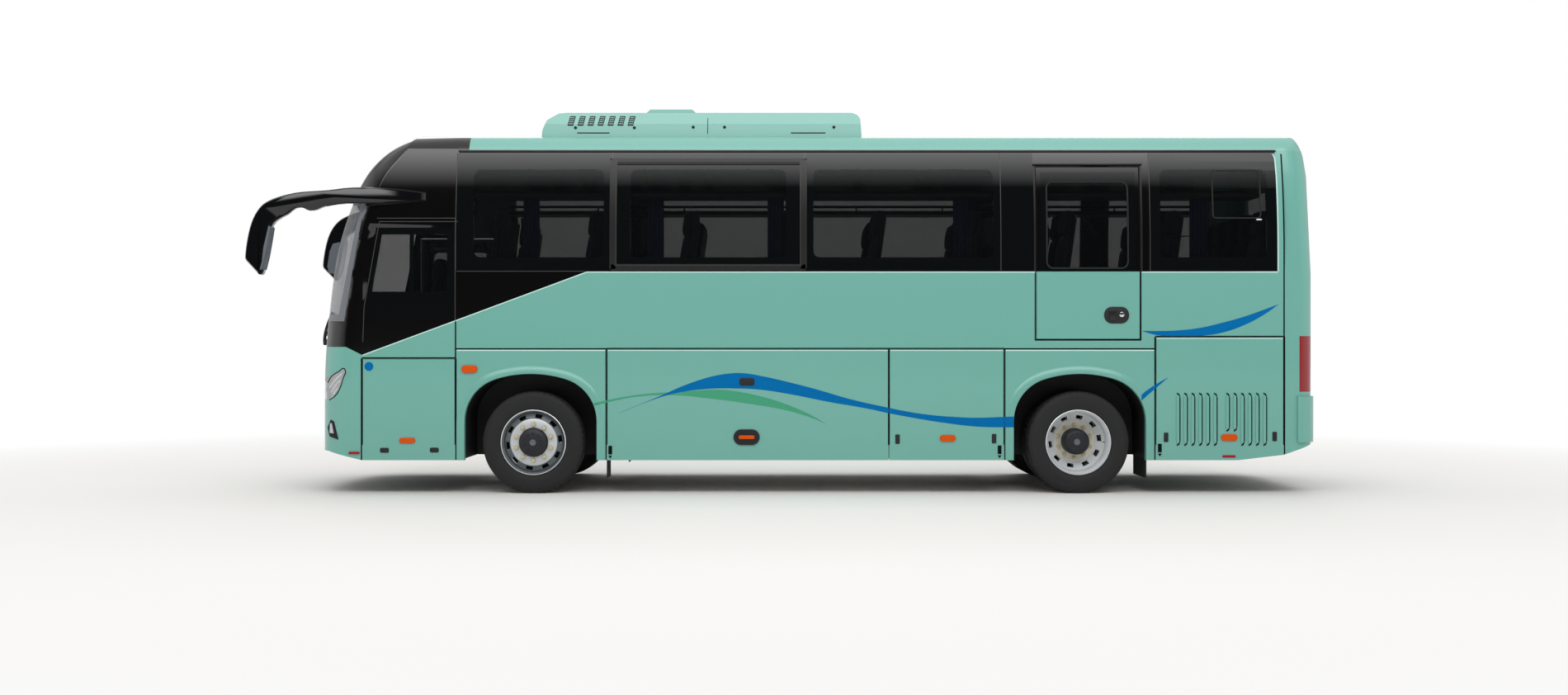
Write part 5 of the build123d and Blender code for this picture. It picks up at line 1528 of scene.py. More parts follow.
@dataclass
class Wheels(Assembly):
    """Steel wheels with hand holes, nuts, hub caps, near-white lips and valves. The lips' near white is a
    painted highlight, and the darker grey of the channel and rim is painted shade.
    """
    steps: int = 120
    hand_holes: int = 10
    nuts: int = 10
    bolt_ring: float = 0.083
    # Each row, for washer, nut and stud: foot, top, radius, flats, rounding.
    nut: Rows = (
        (-0.004, 0.004, 0.024, 20, 0.0), (0.0, 0.024, 0.0205, 6, 0.003), (0.02, 0.032, 0.011, 12, 0.002),
    )
    thick: float = 0.006
    # The rim and its lip, outboard of the rim's centre plane; the lip's near white is a painted highlight.
    rim: Line = (
        (0.2975, 0.1055), (0.2915, 0.1055), (0.2875, 0.1), (0.2835, 0.086), (0.2765, 0.075),
        (0.2725, 0.058), (0.2725, -0.06), (0.2765, -0.076), (0.2875, -0.1), (0.2975, -0.1055),
    )
    lip: Line = ((0.2985, 0.104), (0.2985, 0.1075), (0.2955, 0.1095), (0.291, 0.1085), (0.289, 0.104))

    def build(self) -> None:
        """Builds the four wheels."""
        for side in Side:
            for kind, x in ((FRONT_WHEEL, LAYOUT.front_axle_x), (REAR_WHEEL, LAYOUT.rear_axle_x)):
                self.wheel(kind, side, x)

    def wheel(self, kind: WheelKind, side: Side, x: float) -> None:
        """Builds one wheel, or a pair of twins.

        Args:
            kind: Its sizes.
            side: The side it is on.
            x: The axle's x.
        """
        body = kind.node.format(side.label)
        centre = (x, kind.middle, LAYOUT.axle_z)
        disc = Shape().sheet(kind.disc, centre, self.steps, self.thick)
        channel = Shape().sheet(kind.channel, centre, self.steps, self.thick, (self.hand_holes, kind.holes))
        if len(kind.rims) > 1:
            for shape in (disc, channel):
                shape.add(shape.copied().flipped(kind.middle))
        disc.facing(side).piece(f"{body}_disc", kind.disc_finish, body, [body])
        rims, lips, inner = Shape(), Shape(), Shape()
        for y in kind.rims:
            rims.sheet(self.rim, (x, y, LAYOUT.axle_z), self.steps, 0.003)
            lips.spun(self.lip, (x, y, LAYOUT.axle_z), self.steps, closed=True)
        for profile in kind.inner:
            inner.spun(profile, centre, self.steps // 2, closed=True)
        cap = Shape().spun(kind.cap, centre, self.steps // 2)
        for name, shape, finish in (
                ("channel", channel, kind.channel_finish), ("rim", rims, kind.channel_finish),
                ("lip", lips, PALE_METAL_AND_HIGHLIGHT), ("hub", inner, CAST), ("hub_cap", cap, HUB)):
            shape.facing(side).piece(f"{body}_{name}", finish, body)
        self.fixings(kind, side, body, x)

    def fixings(self, kind: WheelKind, side: Side, body: str, x: float) -> None:
        """Adds the nuts, the hub's small bolts and mark, and the valve.

        Args:
            kind: The wheel's sizes.
            side: The side it is on.
            body: The wheel's body.
            x: The axle's x.
        """
        z, foot, tip = LAYOUT.axle_z, kind.middle + kind.nut_foot, kind.middle + kind.cap[0][1]
        nuts, bolts = Shape(), Shape()
        for k in range(self.nuts):
            turn = math.tau * (k + 0.5) / self.nuts
            nx, nz = x + kind.nut_ring * math.cos(turn), z + kind.nut_ring * math.sin(turn)
            for low, high, radius, flats, edge in self.nut:
                nuts.rod((nx, foot + low, nz), (nx, foot + high, nz), radius, segments=flats, edge=edge)
            bx, bz = x + self.bolt_ring * math.cos(turn), z + self.bolt_ring * math.sin(turn)
            bolts.rod((bx, tip - 0.008, bz), (bx, tip + 0.003, bz), 0.008, segments=6, edge=0.001)
        mark = Shape().rod((x, tip - 0.004, z), (x, tip + 0.003, z), 0.03, segments=8, edge=0.003)
        valve = Shape().rod((x + 0.236, 1.12, z), (x + 0.252, 1.185, z), 0.006, 0.004, 12)
        for name, shape, finish in (("nuts", nuts, NUT), ("hub_bolts", bolts, HUB),
                                    ("hub_mark", mark, HUB_MARK), ("valve", valve, CHROME)):
            shape.facing(side).piece(f"{body}_{name}", finish, body)


# ---- roof unit
@dataclass
class RoofUnit(Assembly):
    """Slots, seam, caps and fans of the roof's air conditioner."""
    slot_xs: Numbers = tuple(-2.03 + 0.0925 * k for k in range(7))
    caps: Line = ((-1.975, 3.365), (-1.43, 3.365), (-0.885, 3.37), (-0.595, 3.37), (0.418, 3.37))
    grilles: tuple[Span, ...] = ((-1.96, -1.66), (0.02, 0.34))
    fans: Numbers = (-1.92, -1.1, -0.3, 0.3)
    fan_y: float = 0.4
    guard_radii: Numbers = (0.18, 0.13, 0.08)
    wire: float = 0.004
    slot_z: Span = (3.385, 3.478)
    slot_lean: float = 0.18
    rib_zs: Numbers = (3.398, 3.418, 3.438, 3.458)
    flank_zs: Numbers = (3.3995, 3.4015, 3.44, 3.46)

    def build(self) -> None:
        """Adds the details on both flanks and the fans on top."""
        skin = Skin("roof_air_conditioner")
        for side in Side:
            slots, ribs, caps, grilles = Shape(), Shape(), Shape(), Shape()
            foot, head = self.slot_z
            for x in self.slot_xs:
                slots.outline([(x - 0.018, foot), (x + 0.034, foot), (x + 0.052, head), (x, head)],
                              (-0.003, 0.004))
                for z in self.rib_zs:
                    lean = self.slot_lean * (z - foot)
                    ribs.box((x - 0.01 + lean, x + 0.03 + lean), (-0.003, 0.006), (z, z + 0.007))
            for x, z in self.caps:
                caps.rod((x, -0.004, z), (x, 0.004, z), 0.014, segments=16)
            seam = Shape().box((-0.753, -0.748), (-0.003, 0.002), (3.31, 3.46)).sliced(2, (3.36, 3.4, 3.43))
            for start, end in self.grilles:
                grilles.box((start, end), (-0.003, 0.002), (3.312, 3.322))
            for name, shape, finish in (
                    ("slots", slots.sliced(2, self.flank_zs), RUBBER),
                    ("slot_ribs", ribs.sliced(2, self.flank_zs), MINT),
                    ("caps", caps, SATIN), ("seam", seam, SEAM), ("grilles", grilles, RUBBER)):
                self.on_flank(shape, skin, side).piece(f"unit_{name}_{side.label}", finish)
        self.top(skin)

    @staticmethod
    def on_flank(shape: Shape, skin: Skin, side: Side) -> Shape:
        """Lays a shape drawn outwards on one flank of the unit."""
        shape.facing(side)
        for vertex in shape.mesh.verts:
            start = (vertex.co.x, side.value * 3, vertex.co.z)
            place, _ = skin.hit(start, (0, -side.value, 0))
            vertex.co.y = place.y + vertex.co.y
        return shape

    def top(self, skin: Skin) -> None:
        """Adds the round fan grilles on top."""
        rings, blades, wells = Shape(), Shape(), Shape()
        for x in self.fans:
            for y in (-self.fan_y, self.fan_y):
                z = skin.hit((x, y, 6), (0, 0, -1))[0].z
                wells.rod((x, y, z - 0.02), (x, y, z + 0.001), 0.175, segments=40)
                for radius in self.guard_radii:
                    path = [(x + radius * math.cos(t), y + radius * math.sin(t), z + 0.006)
                            for t in [math.tau * k / 24 for k in range(25)]]
                    rings.pipe(path, self.wire, smooth=False)
                for t in [math.pi * k / 4 for k in range(4)]:
                    bar = [(x + reach * math.cos(t), y + reach * math.sin(t), z + self.wire)
                           for reach in (-self.guard_radii[0], self.guard_radii[0])]
                    rings.pipe(bar, self.wire, smooth=False)
                blades.rod((x, y, z), (x, y, z + 0.012), 0.05, segments=20, edge=0.003)
        wells.piece("unit_fan_wells", RUBBER)
        rings.piece("unit_fan_guards", SATIN)
        blades.piece("unit_fan_hubs", PLASTIC)


# ---- mirrors and front
@dataclass
class Mirrors(Assembly):
    """Swan-neck mirrors: an arm from the dome, and a head that hangs from its end."""
    # The outline in side view, from the arm's root along the top to the tip, and back below.
    upper: Line = (
        (-3.3, 2.742), (-3.62, 2.778), (-3.95, 2.779), (-4.165, 2.752), (-4.38, 2.734), (-4.5, 2.712),
        (-4.625, 2.668), (-4.717, 2.611), (-4.785, 2.522), (-4.83, 2.408), (-4.86, 2.264), (-4.873, 2.143),
        (-4.862, 2.106),
    )
    lower: Line = (
        (-4.748, 1.984), (-4.73, 2.01), (-4.7, 2.14), (-4.674, 2.29), (-4.652, 2.43), (-4.59, 2.49),
        (-4.524, 2.53), (-4.46, 2.582), (-4.39, 2.592), (-4.33, 2.566), (-4.265, 2.574), (-4.19, 2.606),
        (-4.0, 2.636), (-3.62, 2.64), (-3.3, 2.662),
    )
    # Rows of x, inner y and outer y.
    plan: tuple[Place, ...] = (
        (-3.3, 1.09, 1.225), (-3.6, 1.12, 1.265), (-3.88, 1.205, 1.3), (-4.3, 1.29, 1.352),
        (-4.5, 1.3, 1.392), (-4.62, 1.302, 1.44), (-4.72, 1.302, 1.474), (-4.9, 1.302, 1.474),
    )
    glass: Line = (
        (-4.661, 2.424), (-4.648, 2.41), (-4.668, 2.285), (-4.694, 2.14), (-4.722, 2.03), (-4.734, 2.026),
        (-4.716, 2.09), (-4.702, 2.225),
    )
    inner_glass: Line = (
        (-4.69, 2.39), (-4.765, 2.372), (-4.796, 2.29), (-4.82, 2.13), (-4.8, 2.06), (-4.752, 2.05),
        (-4.722, 2.13), (-4.702, 2.26),
    )
    root_x: float = -3.3
    edge: float = 0.013

    def build(self) -> None:
        """Builds both mirrors from one outline."""
        shape = Shape().outline(self.spread(self.upper, self.lower), (0.0, 1.0))
        caps = [face for face in shape.mesh.faces if len(face.verts) > 4]
        bmesh.ops.inset_region(shape.mesh, faces=caps, thickness=self.edge, use_even_offset=True)
        for face in caps:
            for vertex in face.verts:
                vertex.co.y = -0.001 if vertex.co.y < 0.5 else 1.001
        for vertex in shape.mesh.verts:
            if 0 <= vertex.co.y <= 1:
                vertex.co.y = 0.14 + 0.72 * vertex.co.y
        self.both(self.place(shape)).piece("mirror_housings", BLACK, replaces=["mirrors"], sharp=50)
        glass = self.place(Shape().outline(self.glass, (0.06, 1.03)))
        glass.add(self.place(Shape().outline(self.inner_glass, (-0.05, 0.3))))
        self.both(glass).piece("mirror_glasses", MIRROR)

    def both(self, shape: Shape) -> Shape:
        """Adds the driver's side one of a kerb-side mirror, which reaches further forward itself."""
        twin = shape.copied().flipped()
        for vertex in shape.mesh.verts:
            reach = self.root_x - vertex.co.x
            vertex.co.x -= reach * 0.05
            vertex.co.z += min(max(reach - 0.4, 0.0), 0.6) * 0.1
        return shape.add(twin)

    @staticmethod
    def spread(upper: Sequence[Point], lower: Sequence[Point]) -> list[Point]:
        """Rounds an outline by a smooth curve through its points.

        Args:
            upper: Its first edge.
            lower: Its second edge, on from the end of the first.

        Returns:
            The outline's points.
        """
        points = []
        for line in (upper, lower):
            ends = [line[0], *line, line[-1]]
            for a, b, c, d in zip(ends, ends[1:], ends[2:], ends[3:]):
                for k in range(3):
                    t = k / 3
                    points.append(tuple(
                        0.5 * (2 * q + (r - p) * t + (2 * p - 5 * q + 4 * r - o) * t * t
                               + (3 * q - p - 3 * r + o) * t ** 3)
                        for p, q, r, o in zip(a, b, c, d)))
            points.append(line[-1])
        return points

    def place(self, shape: Shape) -> Shape:
        """Turns a shape's y, from 0 to 1, into its place between the inner and the outer side."""
        for vertex in shape.mesh.verts:
            for (far, inner_far, outer_far), (near, inner_near, outer_near) in zip(self.plan[1:], self.plan):
                if vertex.co.x >= far:
                    break
            share = min(max((vertex.co.x - near) / (far - near), 0.0), 1.0)
            inner = inner_near + (inner_far - inner_near) * share
            outer = outer_near + (outer_far - outer_near) * share
            vertex.co.y = inner + (outer - inner) * vertex.co.y
        return shape


@dataclass
class FrontFittings(Assembly):
    """Lamps, plate, grille and wiper linkage of the front."""
    bowls: tuple[Place, ...] = ((0.94, 0.985, 0.066), (0.8, 0.965, 0.052), (1.065, 1.01, 0.05))
    lamp_rim: Line = (
        (-4.215, 1.01), (-4.168, 1.068), (-4.093, 1.112), (-4.04, 1.137), (-4.058, 1.03), (-4.09, 0.944),
        (-4.132, 0.888), (-4.195, 0.85),
    )
    lamp_bars: tuple[Line, ...] = (
        ((-4.19, 0.962), (-4.139, 1.022), (-4.094, 1.064), (-4.058, 1.092)),
        ((-4.165, 0.925), (-4.118, 0.99), (-4.08, 1.03)),
        ((-4.14, 0.905), (-4.105, 0.96)),
    )
    fog: Line = ((-4.176, 0.672), (-4.142, 0.655), (-4.096, 0.492), (-4.19, 0.52), (-4.214, 0.6))

    def build(self) -> None:
        """Adds the front's fittings."""
        mask, lamp_skin = Skin("front_panel", "front_lamps"), Skin("front_lamps")
        bowls, bulbs = Shape(), Shape()
        for y, z, radius in self.bowls:
            place, normal = lamp_skin.hit((-6, y, z), (1, 0, 0))
            bowls.rod(tuple(place - normal * 0.045), tuple(place - normal * 0.012), radius * 0.6, radius, 28)
            bulbs.ball(tuple(place - normal * 0.03), (0.024, 0.024, 0.024), 16)
        bowls.mirrored().piece("headlamp_reflectors", SILVER)
        bulbs.mirrored().piece("headlamp_bulbs", LENS)
        line = []
        for k in range(9):
            place, normal = lamp_skin.hit((-6, 0.66 + 0.055 * k, 1.045 + 0.006 * k), (1, 0, 0))
            line.append(tuple(place - normal * 0.012))
        Shape().pipe(line, 0.009).mirrored().piece("headlamp_indicators", AMBER)
        self.corner_line([self.lamp_rim], 0.0045, mask).piece("headlamp_rims", SEAM)
        self.corner_line(self.lamp_bars, 0.008, mask).piece("headlamp_bars", WHITE_PLATE)
        self.fog_lamps(mask)
        plate = Shape().box((-0.004, 0.012), (-0.25, 0.25), (0.53, 0.66), 0.003)
        plate.sliced(1, (-0.15, -0.05, 0.05, 0.15))
        plate.on_end(mask, End.NOSE).piece("front_plate", WHITE_PLATE)
        slots = Shape()
        for k in range(4):
            slots.box((-0.003, 0.002), (-0.46, 0.46), (0.72 + 0.05 * k, 0.742 + 0.05 * k))
        slots.sliced(1, [-0.4 + 0.1 * k for k in range(9)])
        slots.on_end(mask, End.NOSE).piece("front_grille", RUBBER)
        emblem = Shape().rod((-0.003, 0, 1.13), (0.01, 0, 1.13), 0.065, segments=40, edge=0.003)
        emblem.on_end(mask, End.NOSE).piece("front_blank_disc", PALE_TEAL_AND_HIGHLIGHT)
        self.wiper_linkage()

    @staticmethod
    def corner_line(paths: Sequence[Sequence[Point]], radius: float, mask: Skin) -> Shape:
        """Draws lines seen from the side on both corners of the nose.

        Args:
            paths: The places of each line, as x and z.
            radius: The radius of the lines.
            mask: The skin they lie on.

        Returns:
            The lines of both corners.
        """
        lines = Shape()
        for path in paths:
            hits = [mask.hit((x, 3, z), (0, -1, 0)) for x, z in path]
            lines.pipe([tuple(place + normal * 0.001) for place, normal in hits], radius)
        return lines.mirrored()

    def fog_lamps(self, mask: Skin) -> None:
        """Adds the fog lamps in dark panels on the nose's corners."""
        low, high = min(z for _, z in self.fog), max(z for _, z in self.fog)
        panel = Shape().outline(self.fog, (-0.004, 0.005))
        panel.sliced(2, [low + (high - low) * k / 6 for k in range(1, 6)])
        panel.sliced(0, (-4.19, -4.16, -4.13, -4.11))
        self.on_corner(panel, mask).mirrored().piece("fog_lamp_panels", RUBBER)
        glass = [(-4.178, 0.64), (-4.16, 0.64), (-4.14, 0.548), (-4.184, 0.552)]
        lamp = Shape().outline(glass, (0.004, 0.01))
        self.on_corner(lamp, mask).mirrored().piece("fog_lamps", SILVER)

    def wiper_linkage(self) -> None:
        """Adds the bent roots of the wiper arms, which stand ahead of the screen."""
        for k, y in enumerate((-0.3, 0.42)):
            arm = [(-4.396, y, 1.668), (-4.43, y, 1.6), (-4.472, y, 1.47), (-4.482, y, 1.392)]
            shape = Shape().pipe(arm, 0.016)
            shape.box((-4.49, -4.4), (y - 0.03, y + 0.03), (1.352, 1.412), 0.012)
            shape.piece(f"wiper_root_{k}", PLASTIC)

    @staticmethod
    def on_corner(shape: Shape, skin: Skin) -> Shape:
        """Lays a shape, whose y is its height over the skin, on the nose's kerb-side corner."""
        for vertex in shape.mesh.verts:
            place, normal = skin.hit((vertex.co.x, 3, vertex.co.z), (0, -1, 0))
            vertex.co = place + normal * vertex.co.y
        return shape


@dataclass
class RearFittings(Assembly):
    """Plate, vents, lamps and handle of the tail."""
    # Each row: name, finish, body, how far it stands out, y, z, rounding, places of the cuts along y.
    parts: Rows = (
        ("engine_door_handle", PLASTIC, "engine_door", 0.014, (-0.06, 0.06), (1.28, 1.32), 0.005, ()),
        ("rear_plate", WHITE_PLATE, "root", 0.008, (-0.25, 0.25), (0.62, 0.75), 0.003, (-0.1, 0.1)),
        ("rear_reflectors", RED, "root", 0.008, (0.9, 1.05), (0.53, 0.56), 0.003, (0.95, 1.0)),
        ("reversing_lamps", CHROME, "root", 0.008, (0.62, 0.74), (0.53, 0.57), 0.003, (0.95, 1.0)),
        ("high_stop_lamp", RED, "root", 0.01, (-0.28, 0.28), (2.985, 3.015), 0.004, (-0.14, 0, 0.14)),
    )

    def build(self) -> None:
        """Adds the tail's fittings. What stands beside the middle is mirrored."""
        door, bumper, panel = Skin("engine_door"), Skin("rear_bumper"), Skin("rear_panel", "rear_window")
        slots = Shape()
        for k in range(5):
            slots.box((-0.003, 0.002), (-0.6, 0.6), (0.97 + 0.055 * k, 0.995 + 0.055 * k))
        slots.sliced(1, [-0.5 + 0.1 * k for k in range(11)]).on_end(door, End.TAIL)
        slots.piece("engine_door_vents", RUBBER, "engine_door")
        skins = (door, bumper, bumper, bumper, panel)
        for (name, finish, body, proud, y, z, radius, cuts), skin in zip(self.parts, skins):
            shape = Shape().box((-0.003, proud), y, z, radius).sliced(1, cuts).on_end(skin, End.TAIL)
            if y[0] > 0:
                shape.mirrored()
            shape.piece(name, finish, body)


# ---- cabin
@dataclass
class Seats(Assembly):
    """Upholstered seats on plastic shells and steel legs."""
    pitch: float = 0.87
    first_back: float = -2.7
    rows: int = 7
    last_back: float = 3.495
    bench_back: float = 4.33
    floor: float = 1.33
    seat_half: float = 0.205
    driver: Place = (-3.33, -0.65, 0.9)
    # Both in side view, from the back's foot.
    shell_outline: Line = ((-0.53, 0.345), (-0.1, 0.345), (0.004, 0.4), (0.112, 1.18), (0.09, 1.2),
                           (-0.006, 0.46), (-0.09, 0.352), (-0.53, 0.352))
    arm: Line = ((-0.02, 0.62), (-0.2, 0.615), (-0.33, 0.6))

    def places(self) -> list[Place]:
        """Where the seats stand.

        Returns:
            The x of each back, the y of each middle and the floor's height.
        """
        backs = [self.first_back + k * self.pitch for k in range(self.rows)] + [self.last_back]
        places = [(x, way * y, self.floor) for x in backs for way in (-1, 1) for y in (0.525, 0.955)]
        places += [(self.bench_back, y, self.floor) for y in (-0.9, -0.45, 0.0, 0.45, 0.9)]
        return places + [self.driver]

    def build(self) -> None:
        """Builds cushions, backs, shells and legs."""
        cushions, backs, shells, legs = Shape(), Shape(), Shape(), Shape()
        for x, y, floor in self.places():
            cushions.add(self.cushion(x, y, floor))
            backs.add(self.back(x, y, floor))
            self.shell(shells, x, y, floor)
            legs.box((x - 0.4, x - 0.16), (y - 0.03, y + 0.03), (floor, floor + 0.34), 0.01)
        for name, shape, fill in (("seat_cushions", cushions, 0.7), ("seat_backs", backs, 0.7)):
            piece = shape.piece(name, FABRIC, replaces=["seats"], sharp=70)
        shells.piece("seat_shells", PLASTIC)
        legs.piece("seat_legs", STEEL)

    def soft(self, size: Place, crown: float) -> Shape:
        """A crowned cushion round the origin.

        Args:
            size: Its length, width and thickness.
            crown: How far its middle stands up.

        Returns:
            The cushion.
        """
        part = Shape()
        bmesh.ops.create_cube(part.mesh, size=1, matrix=Matrix.Diagonal((*size, 1)))
        bmesh.ops.subdivide_edges(part.mesh, edges=part.mesh.edges[:], cuts=5, use_grid_fill=True)
        for vertex in part.mesh.verts:
            u, v, w = (2 * vertex.co[k] / size[k] for k in range(3))
            pull = 1 - 0.05 * abs(w) * (1 - u * u) - 0.1 * abs(w) ** 2
            vertex.co.x *= pull - 0.06 * v ** 4
            vertex.co.y *= pull - 0.06 * u ** 4
            vertex.co.z += w * crown * (1 - u ** 4) * (1 - v ** 4)
            channel = math.exp(-((abs(v) - 0.55) / 0.07) ** 2) * 0.01
            vertex.co.z -= w * channel * (1 - u ** 6) if abs(w) > 0.9 else 0
        bmesh.ops.smooth_vert(part.mesh, verts=part.mesh.verts[:], factor=0.5, use_axis_x=True,
                              use_axis_y=True, use_axis_z=True)
        return part

    def cushion(self, x: float, y: float, floor: float) -> Shape:
        """The cushion of the seat at a place."""
        return self.soft((0.46, 2 * self.seat_half, 0.1), 0.014).moved((x - 0.33, y, floor + 0.395))

    def back(self, x: float, y: float, floor: float) -> Shape:
        """The leaning back of the seat at a place, with its headrest."""
        part = self.soft((0.62, 2 * self.seat_half, 0.085), 0.012).moved((0.31, 0, 0))
        part.add(self.soft((0.25, 1.5 * self.seat_half, 0.095), 0.016).moved((0.715, 0, 0.008)))
        return part.turned(-82, "Y", (0, 0, 0)).moved((x - 0.045, y, floor + 0.43))

    def shell(self, shells: Shape, x: float, y: float, floor: float) -> None:
        """Adds the shell behind and under a seat, with its armrests."""
        half = self.seat_half + 0.004
        shells.outline([(x + along, floor + up) for along, up in self.shell_outline], (y - half, y + half))
        for way in (-1, 1):
            arm = [(x + along, y + way * (self.seat_half - 0.004), floor + up) for along, up in self.arm]
            shells.pipe(arm, 0.016)


@dataclass
class Curtains(Assembly):
    """Gathered curtains beside the pillars."""
    height: float = 0.54
    top: float = 2.69
    width: float = 0.15
    fold: float = 0.02
    folds: int = 4
    inner_y: float = 1.095
    left: Numbers = (-2.36, -1.22, -0.12, 1.58, 3.75)
    right: Numbers = (-2.73, -1.4, -0.12, 1.84)

    def build(self) -> None:
        """Hangs a curtain at each place on both sides."""
        for side in Side:
            for x in self.left if side is Side.LEFT else self.right:
                piece = self.hung(x, side).piece(f"curtain_{side.label}_{x:.2f}", CURTAIN, sharp=80)

    def wave(self, share: float) -> float:
        """How far the cloth stands out at a share of its width."""
        return self.fold * math.sin(math.tau * self.folds * share)

    def flat_width(self) -> float:
        """The cloth's own width, along its folds."""
        places = [(self.width * k / 200, self.wave(k / 200)) for k in range(201)]
        return sum(math.dist(a, b) for a, b in zip(places, places[1:]))

    def hung(self, x: float, side: Side) -> Shape:
        """A curtain hanging from the rack's edge.

        Args:
            x: Its middle.
            side: The side it hangs on.

        Returns:
            The curtain.
        """
        part = Shape()
        size = Matrix.Diagonal((self.width, self.height, 1, 1))
        place = Matrix.Translation((x, 0, self.top - self.height / 2)) @ UPRIGHT @ size
        bmesh.ops.create_grid(part.mesh, x_segments=48, y_segments=6, size=0.5, matrix=place)
        for vertex in part.mesh.verts:
            vertex.co.y = self.inner_y + self.wave((vertex.co.x - x) / self.width + 0.5)
        return part.facing(side)


@dataclass
class Cabin(Assembly):
    """Ceiling, racks, rails and the driver's place."""
    rail_y: float = 0.8
    rail_z: float = 2.78
    grab_x: float = -3.02
    # Each path's y and z, behind the driver.
    grabs: tuple[Line, ...] = (
        ((-0.34, 1.33), (-0.34, 2.15), (-0.4, 2.2), (-1.05, 2.2)), ((-1.05, 1.33), (-1.05, 2.2)),
        ((0.34, 1.33), (0.34, 2.25), (0.6, 2.25)),
    )

    def build(self) -> None:
        """Adds what shows through the windows."""
        rails, grabs = Shape(), Shape()
        for side in (-1, 1):
            y, z = side * self.rail_y, self.rail_z
            rails.pipe([(-2.88, y, z), (4.28, y, z)], 0.014, smooth=False)
            for x in [-2.85 + 0.888 * k for k in range(9)]:
                rails.pipe([(x, y, z - 0.05), (x, y, z)], 0.009, smooth=False)
        for path in self.grabs:
            grabs.pipe([(self.grab_x, y, z) for y, z in path], 0.016, smooth=False)
        ceiling = Shape().box((-2.95, 4.4), (-0.8, 0.8), (3.195, 3.205), 0.002)
        panel = Shape().box((-3.035, -3.015), (-1.1, -0.36), (1.335, 2.05), 0.006)
        hood = Shape().box((-4.19, -3.96), (-0.92, -0.38), (1.48, 1.62), 0.03, 3)
        for name, shape, finish in (
                ("ceiling_lining", ceiling, CEILING_SHADE), ("rack_rails", rails, SATIN),
                ("grab_rails", grabs, HANDRAIL), ("driver_partition", panel, SATIN),
                ("instrument_hood", hood, PLASTIC)):
            shape.piece(name, finish)


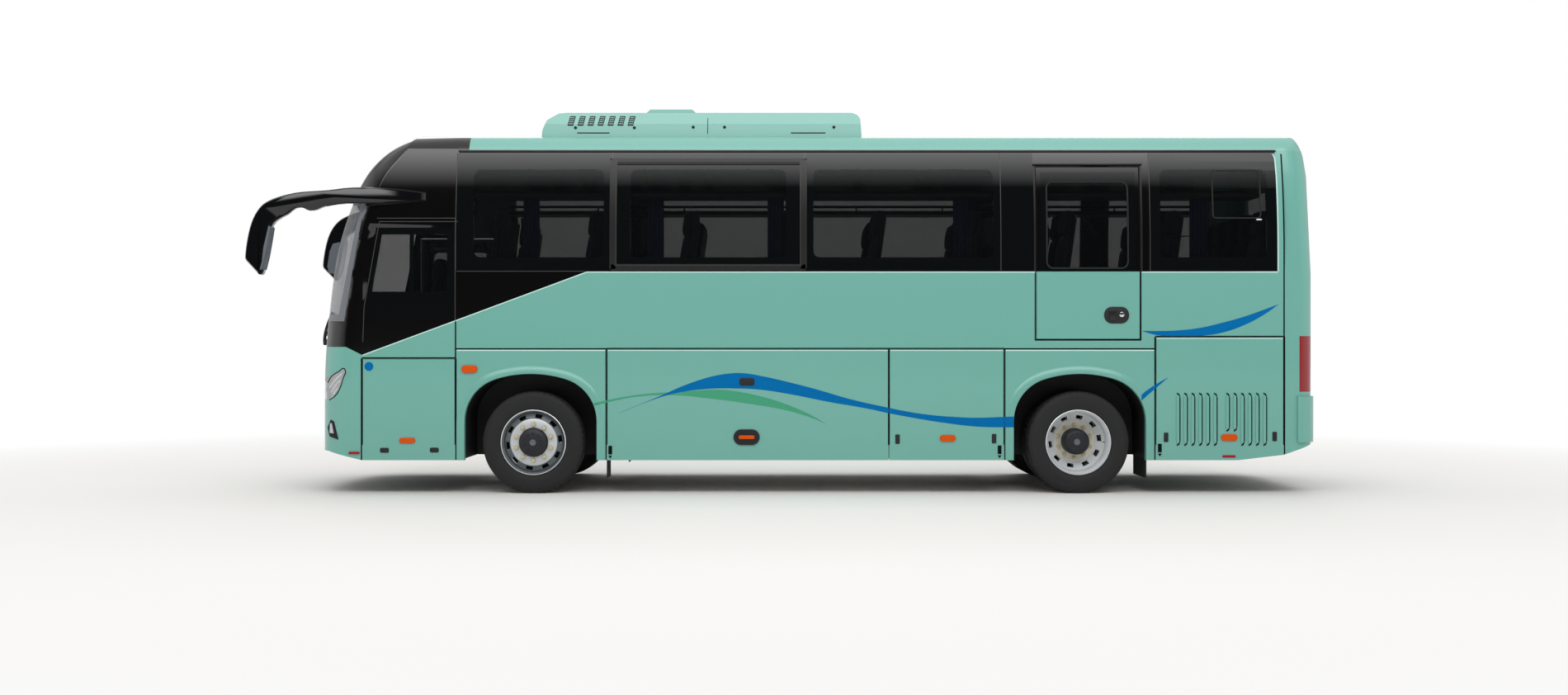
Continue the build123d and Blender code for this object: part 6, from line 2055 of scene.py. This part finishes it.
# ---- studio
@dataclass
class Studio:
    """Floor, soft lamps, pale background and camera."""
    near_y: float = -1.24
    distance: float = 15.0
    view_width: float = 14.25
    camera_x: float = -0.044
    camera_z: float = 1.33
    aim_z: float = 1.5
    floor_colour: Colour = (251, 248, 245)
    fade: Span = (4.6, 12.0)
    fade_share: float = 0.42
    even_light: float = 0.45
    # What shiny faces see: slope and start of the rise upwards, towards the ends and behind.
    seen_above: Point = (4.0, -1.7)
    seen_ends: Point = (2.4, -1.2)
    seen_behind: Point = (3.0, -1.8)
    seen_most_behind: float = 0.55
    seen_least: float = 0.03
    # Each row: x, y, z of the middle, length, breadth, power.
    lamps: tuple[Numbers, ...] = (
        (0.0, -9.0, 8.5, 17.0, 5.0, 680.0),
        (0.0, 9.0, 8.5, 17.0, 5.0, 480.0),
        (0.0, 0.0, 11.0, 16.0, 6.0, 280.0),
    )

    def build(self) -> None:
        """Builds the studio."""
        self.camera()
        self.floor()
        self.light()
        self.world()
        bpy.context.scene.view_settings.view_transform = "Standard"

    def camera(self) -> None:
        """Sets the camera level, square to the driver's side."""
        data = bpy.data.cameras.new("camera")
        data.sensor_width = 36.0
        data.lens = data.sensor_width * self.distance / self.view_width
        data.clip_end = 200.0
        camera = shown("camera", data)
        camera.location = (self.camera_x, self.near_y - self.distance, self.camera_z)
        camera.rotation_euler = (math.radians(90), 0, 0)
        bpy.context.scene.camera = camera

    def floor(self) -> None:
        """Lays the floor, which fades to white far from the coach."""
        mesh = bmesh.new()
        bmesh.ops.create_grid(mesh, x_segments=1, y_segments=1, size=70)
        data = bpy.data.meshes.new("floor")
        mesh.to_mesh(data)
        mesh.free()
        material = bpy.data.materials.new("pale_floor")
        material.use_nodes = True
        tree = material.node_tree
        shader = tree.nodes["Principled BSDF"]
        shader.inputs["Base Color"].default_value = linear(self.floor_colour)
        shader.inputs["Roughness"].default_value = 0.9
        shader.inputs["Specular IOR Level"].default_value = 0.1
        p = Pattern(tree)
        away = p.sum("SQRT", p.sum("ADD", p.sum("POWER", p.x, 2.0), p.sum("POWER", p.y, 2.0)))
        start, end = self.fade
        share = p.clamped(p.sum("MULTIPLY_ADD", away, 1 / (end - start), -start / (end - start)))
        white = tree.nodes.new("ShaderNodeEmission")
        mix = tree.nodes.new("ShaderNodeMixShader")
        tree.links.new(share, mix.inputs[0])
        tree.links.new(shader.outputs[0], mix.inputs[1])
        tree.links.new(white.outputs[0], mix.inputs[2])
        tree.links.new(mix.outputs[0], tree.nodes["Material Output"].inputs["Surface"])
        data.materials.append(material)
        shown("floor", data)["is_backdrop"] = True

    def light(self) -> None:
        """Hangs the soft lamps, each facing the coach."""
        for k, (x, y, z, length, breadth, power) in enumerate(self.lamps):
            data = bpy.data.lights.new(f"lamp_{k}", "AREA")
            data.shape = "RECTANGLE"
            data.size, data.size_y = length, breadth
            data.energy = power
            lamp = shown(f"lamp_{k}", data)
            lamp.visible_glossy = y != 0
            self.shaded(data)
            lamp.location = (x, y, z)
            aim = Vector((x, 0, self.aim_z)) - lamp.location
            lamp.rotation_euler = aim.to_track_quat("-Z", "Y").to_euler()

    def shaded(self, lamp: bpy.types.AreaLight) -> None:
        """Fades a lamp towards its lower edge.

        Args:
            lamp: The lamp.
        """
        lamp.use_nodes = True
        tree = lamp.node_tree
        place = tree.nodes.new("ShaderNodeNewGeometry")
        parts = tree.nodes.new("ShaderNodeSeparateXYZ")
        tree.links.new(place.outputs["Parametric"], parts.inputs[0])
        p = Pattern(tree)
        share = p.clamped(p.sum("MULTIPLY", parts.outputs[1], 1 / self.fade_share))
        level = p.sum("MULTIPLY", share, 1 / (1 - self.fade_share / 2))
        tree.links.new(level, tree.nodes["Emission"].inputs["Strength"])

    def world(self) -> None:
        """Lights the studio evenly, with a white background behind the coach."""
        world = bpy.data.worlds.new("studio")
        world.use_nodes = True
        tree = world.node_tree
        tree.nodes.clear()
        rays = tree.nodes.new("ShaderNodeLightPath")
        p = Pattern(tree, "Generated")
        straight = p.sum("MAXIMUM", rays.outputs["Is Camera Ray"], rays.outputs["Is Transmission Ray"])
        rise = p.sum("MULTIPLY_ADD", p.z, *self.seen_above)
        ends = p.sum("MULTIPLY_ADD", p.sum("ABSOLUTE", p.x), *self.seen_ends)
        behind = p.sum("MINIMUM", p.sum("MULTIPLY_ADD", p.y, *self.seen_behind), self.seen_most_behind)
        seen = p.clamped(p.sum("MAXIMUM", p.sum("MAXIMUM", rise, ends), behind), self.seen_least)
        glossy = p.sum("MULTIPLY", rays.outputs["Is Glossy Ray"], seen)
        plain, back = tree.nodes.new("ShaderNodeBackground"), tree.nodes.new("ShaderNodeBackground")
        for node in (plain, back):
            node.inputs["Color"].default_value = (1, 1, 1, 1)
        plain.inputs["Strength"].default_value = self.even_light
        tree.links.new(p.sum("MAXIMUM", straight, glossy), back.inputs["Strength"])
        share = p.sum("MAXIMUM", straight, rays.outputs["Is Glossy Ray"])
        mix = tree.nodes.new("ShaderNodeMixShader")
        output = tree.nodes.new("ShaderNodeOutputWorld")
        tree.links.new(share, mix.inputs[0])
        tree.links.new(plain.outputs[0], mix.inputs[1])
        tree.links.new(back.outputs[0], mix.inputs[2])
        tree.links.new(mix.outputs[0], output.inputs["Surface"])
        bpy.context.scene.world = world


def write_sizes() -> None:
    """Puts the construction's box and the dressed coach's box side by side."""
    boxes = {"cad": FRAME_BOX, "visual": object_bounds()}
    boxes = {name: [list(corner) for corner in box] for name, box in boxes.items()}


def main() -> None:
    """Builds the coach's assemblies in order, then the studio."""
    logging.basicConfig(level=logging.INFO, format="%(name)s %(message)s")
    assemblies: list[Assembly] = [
        Bodywork(), ArchFlares(), Glazing(), Stripes(), SideFittings(), TyreTread(), Wheels(), RoofUnit(),
        Mirrors(), FrontFittings(), RearFittings(), Seats(), Curtains(), Cabin(),
    ]
    for assembly in assemblies:
        assembly.report()
    Studio().build()
    write_sizes()


if __name__ == "__main__":
    main()
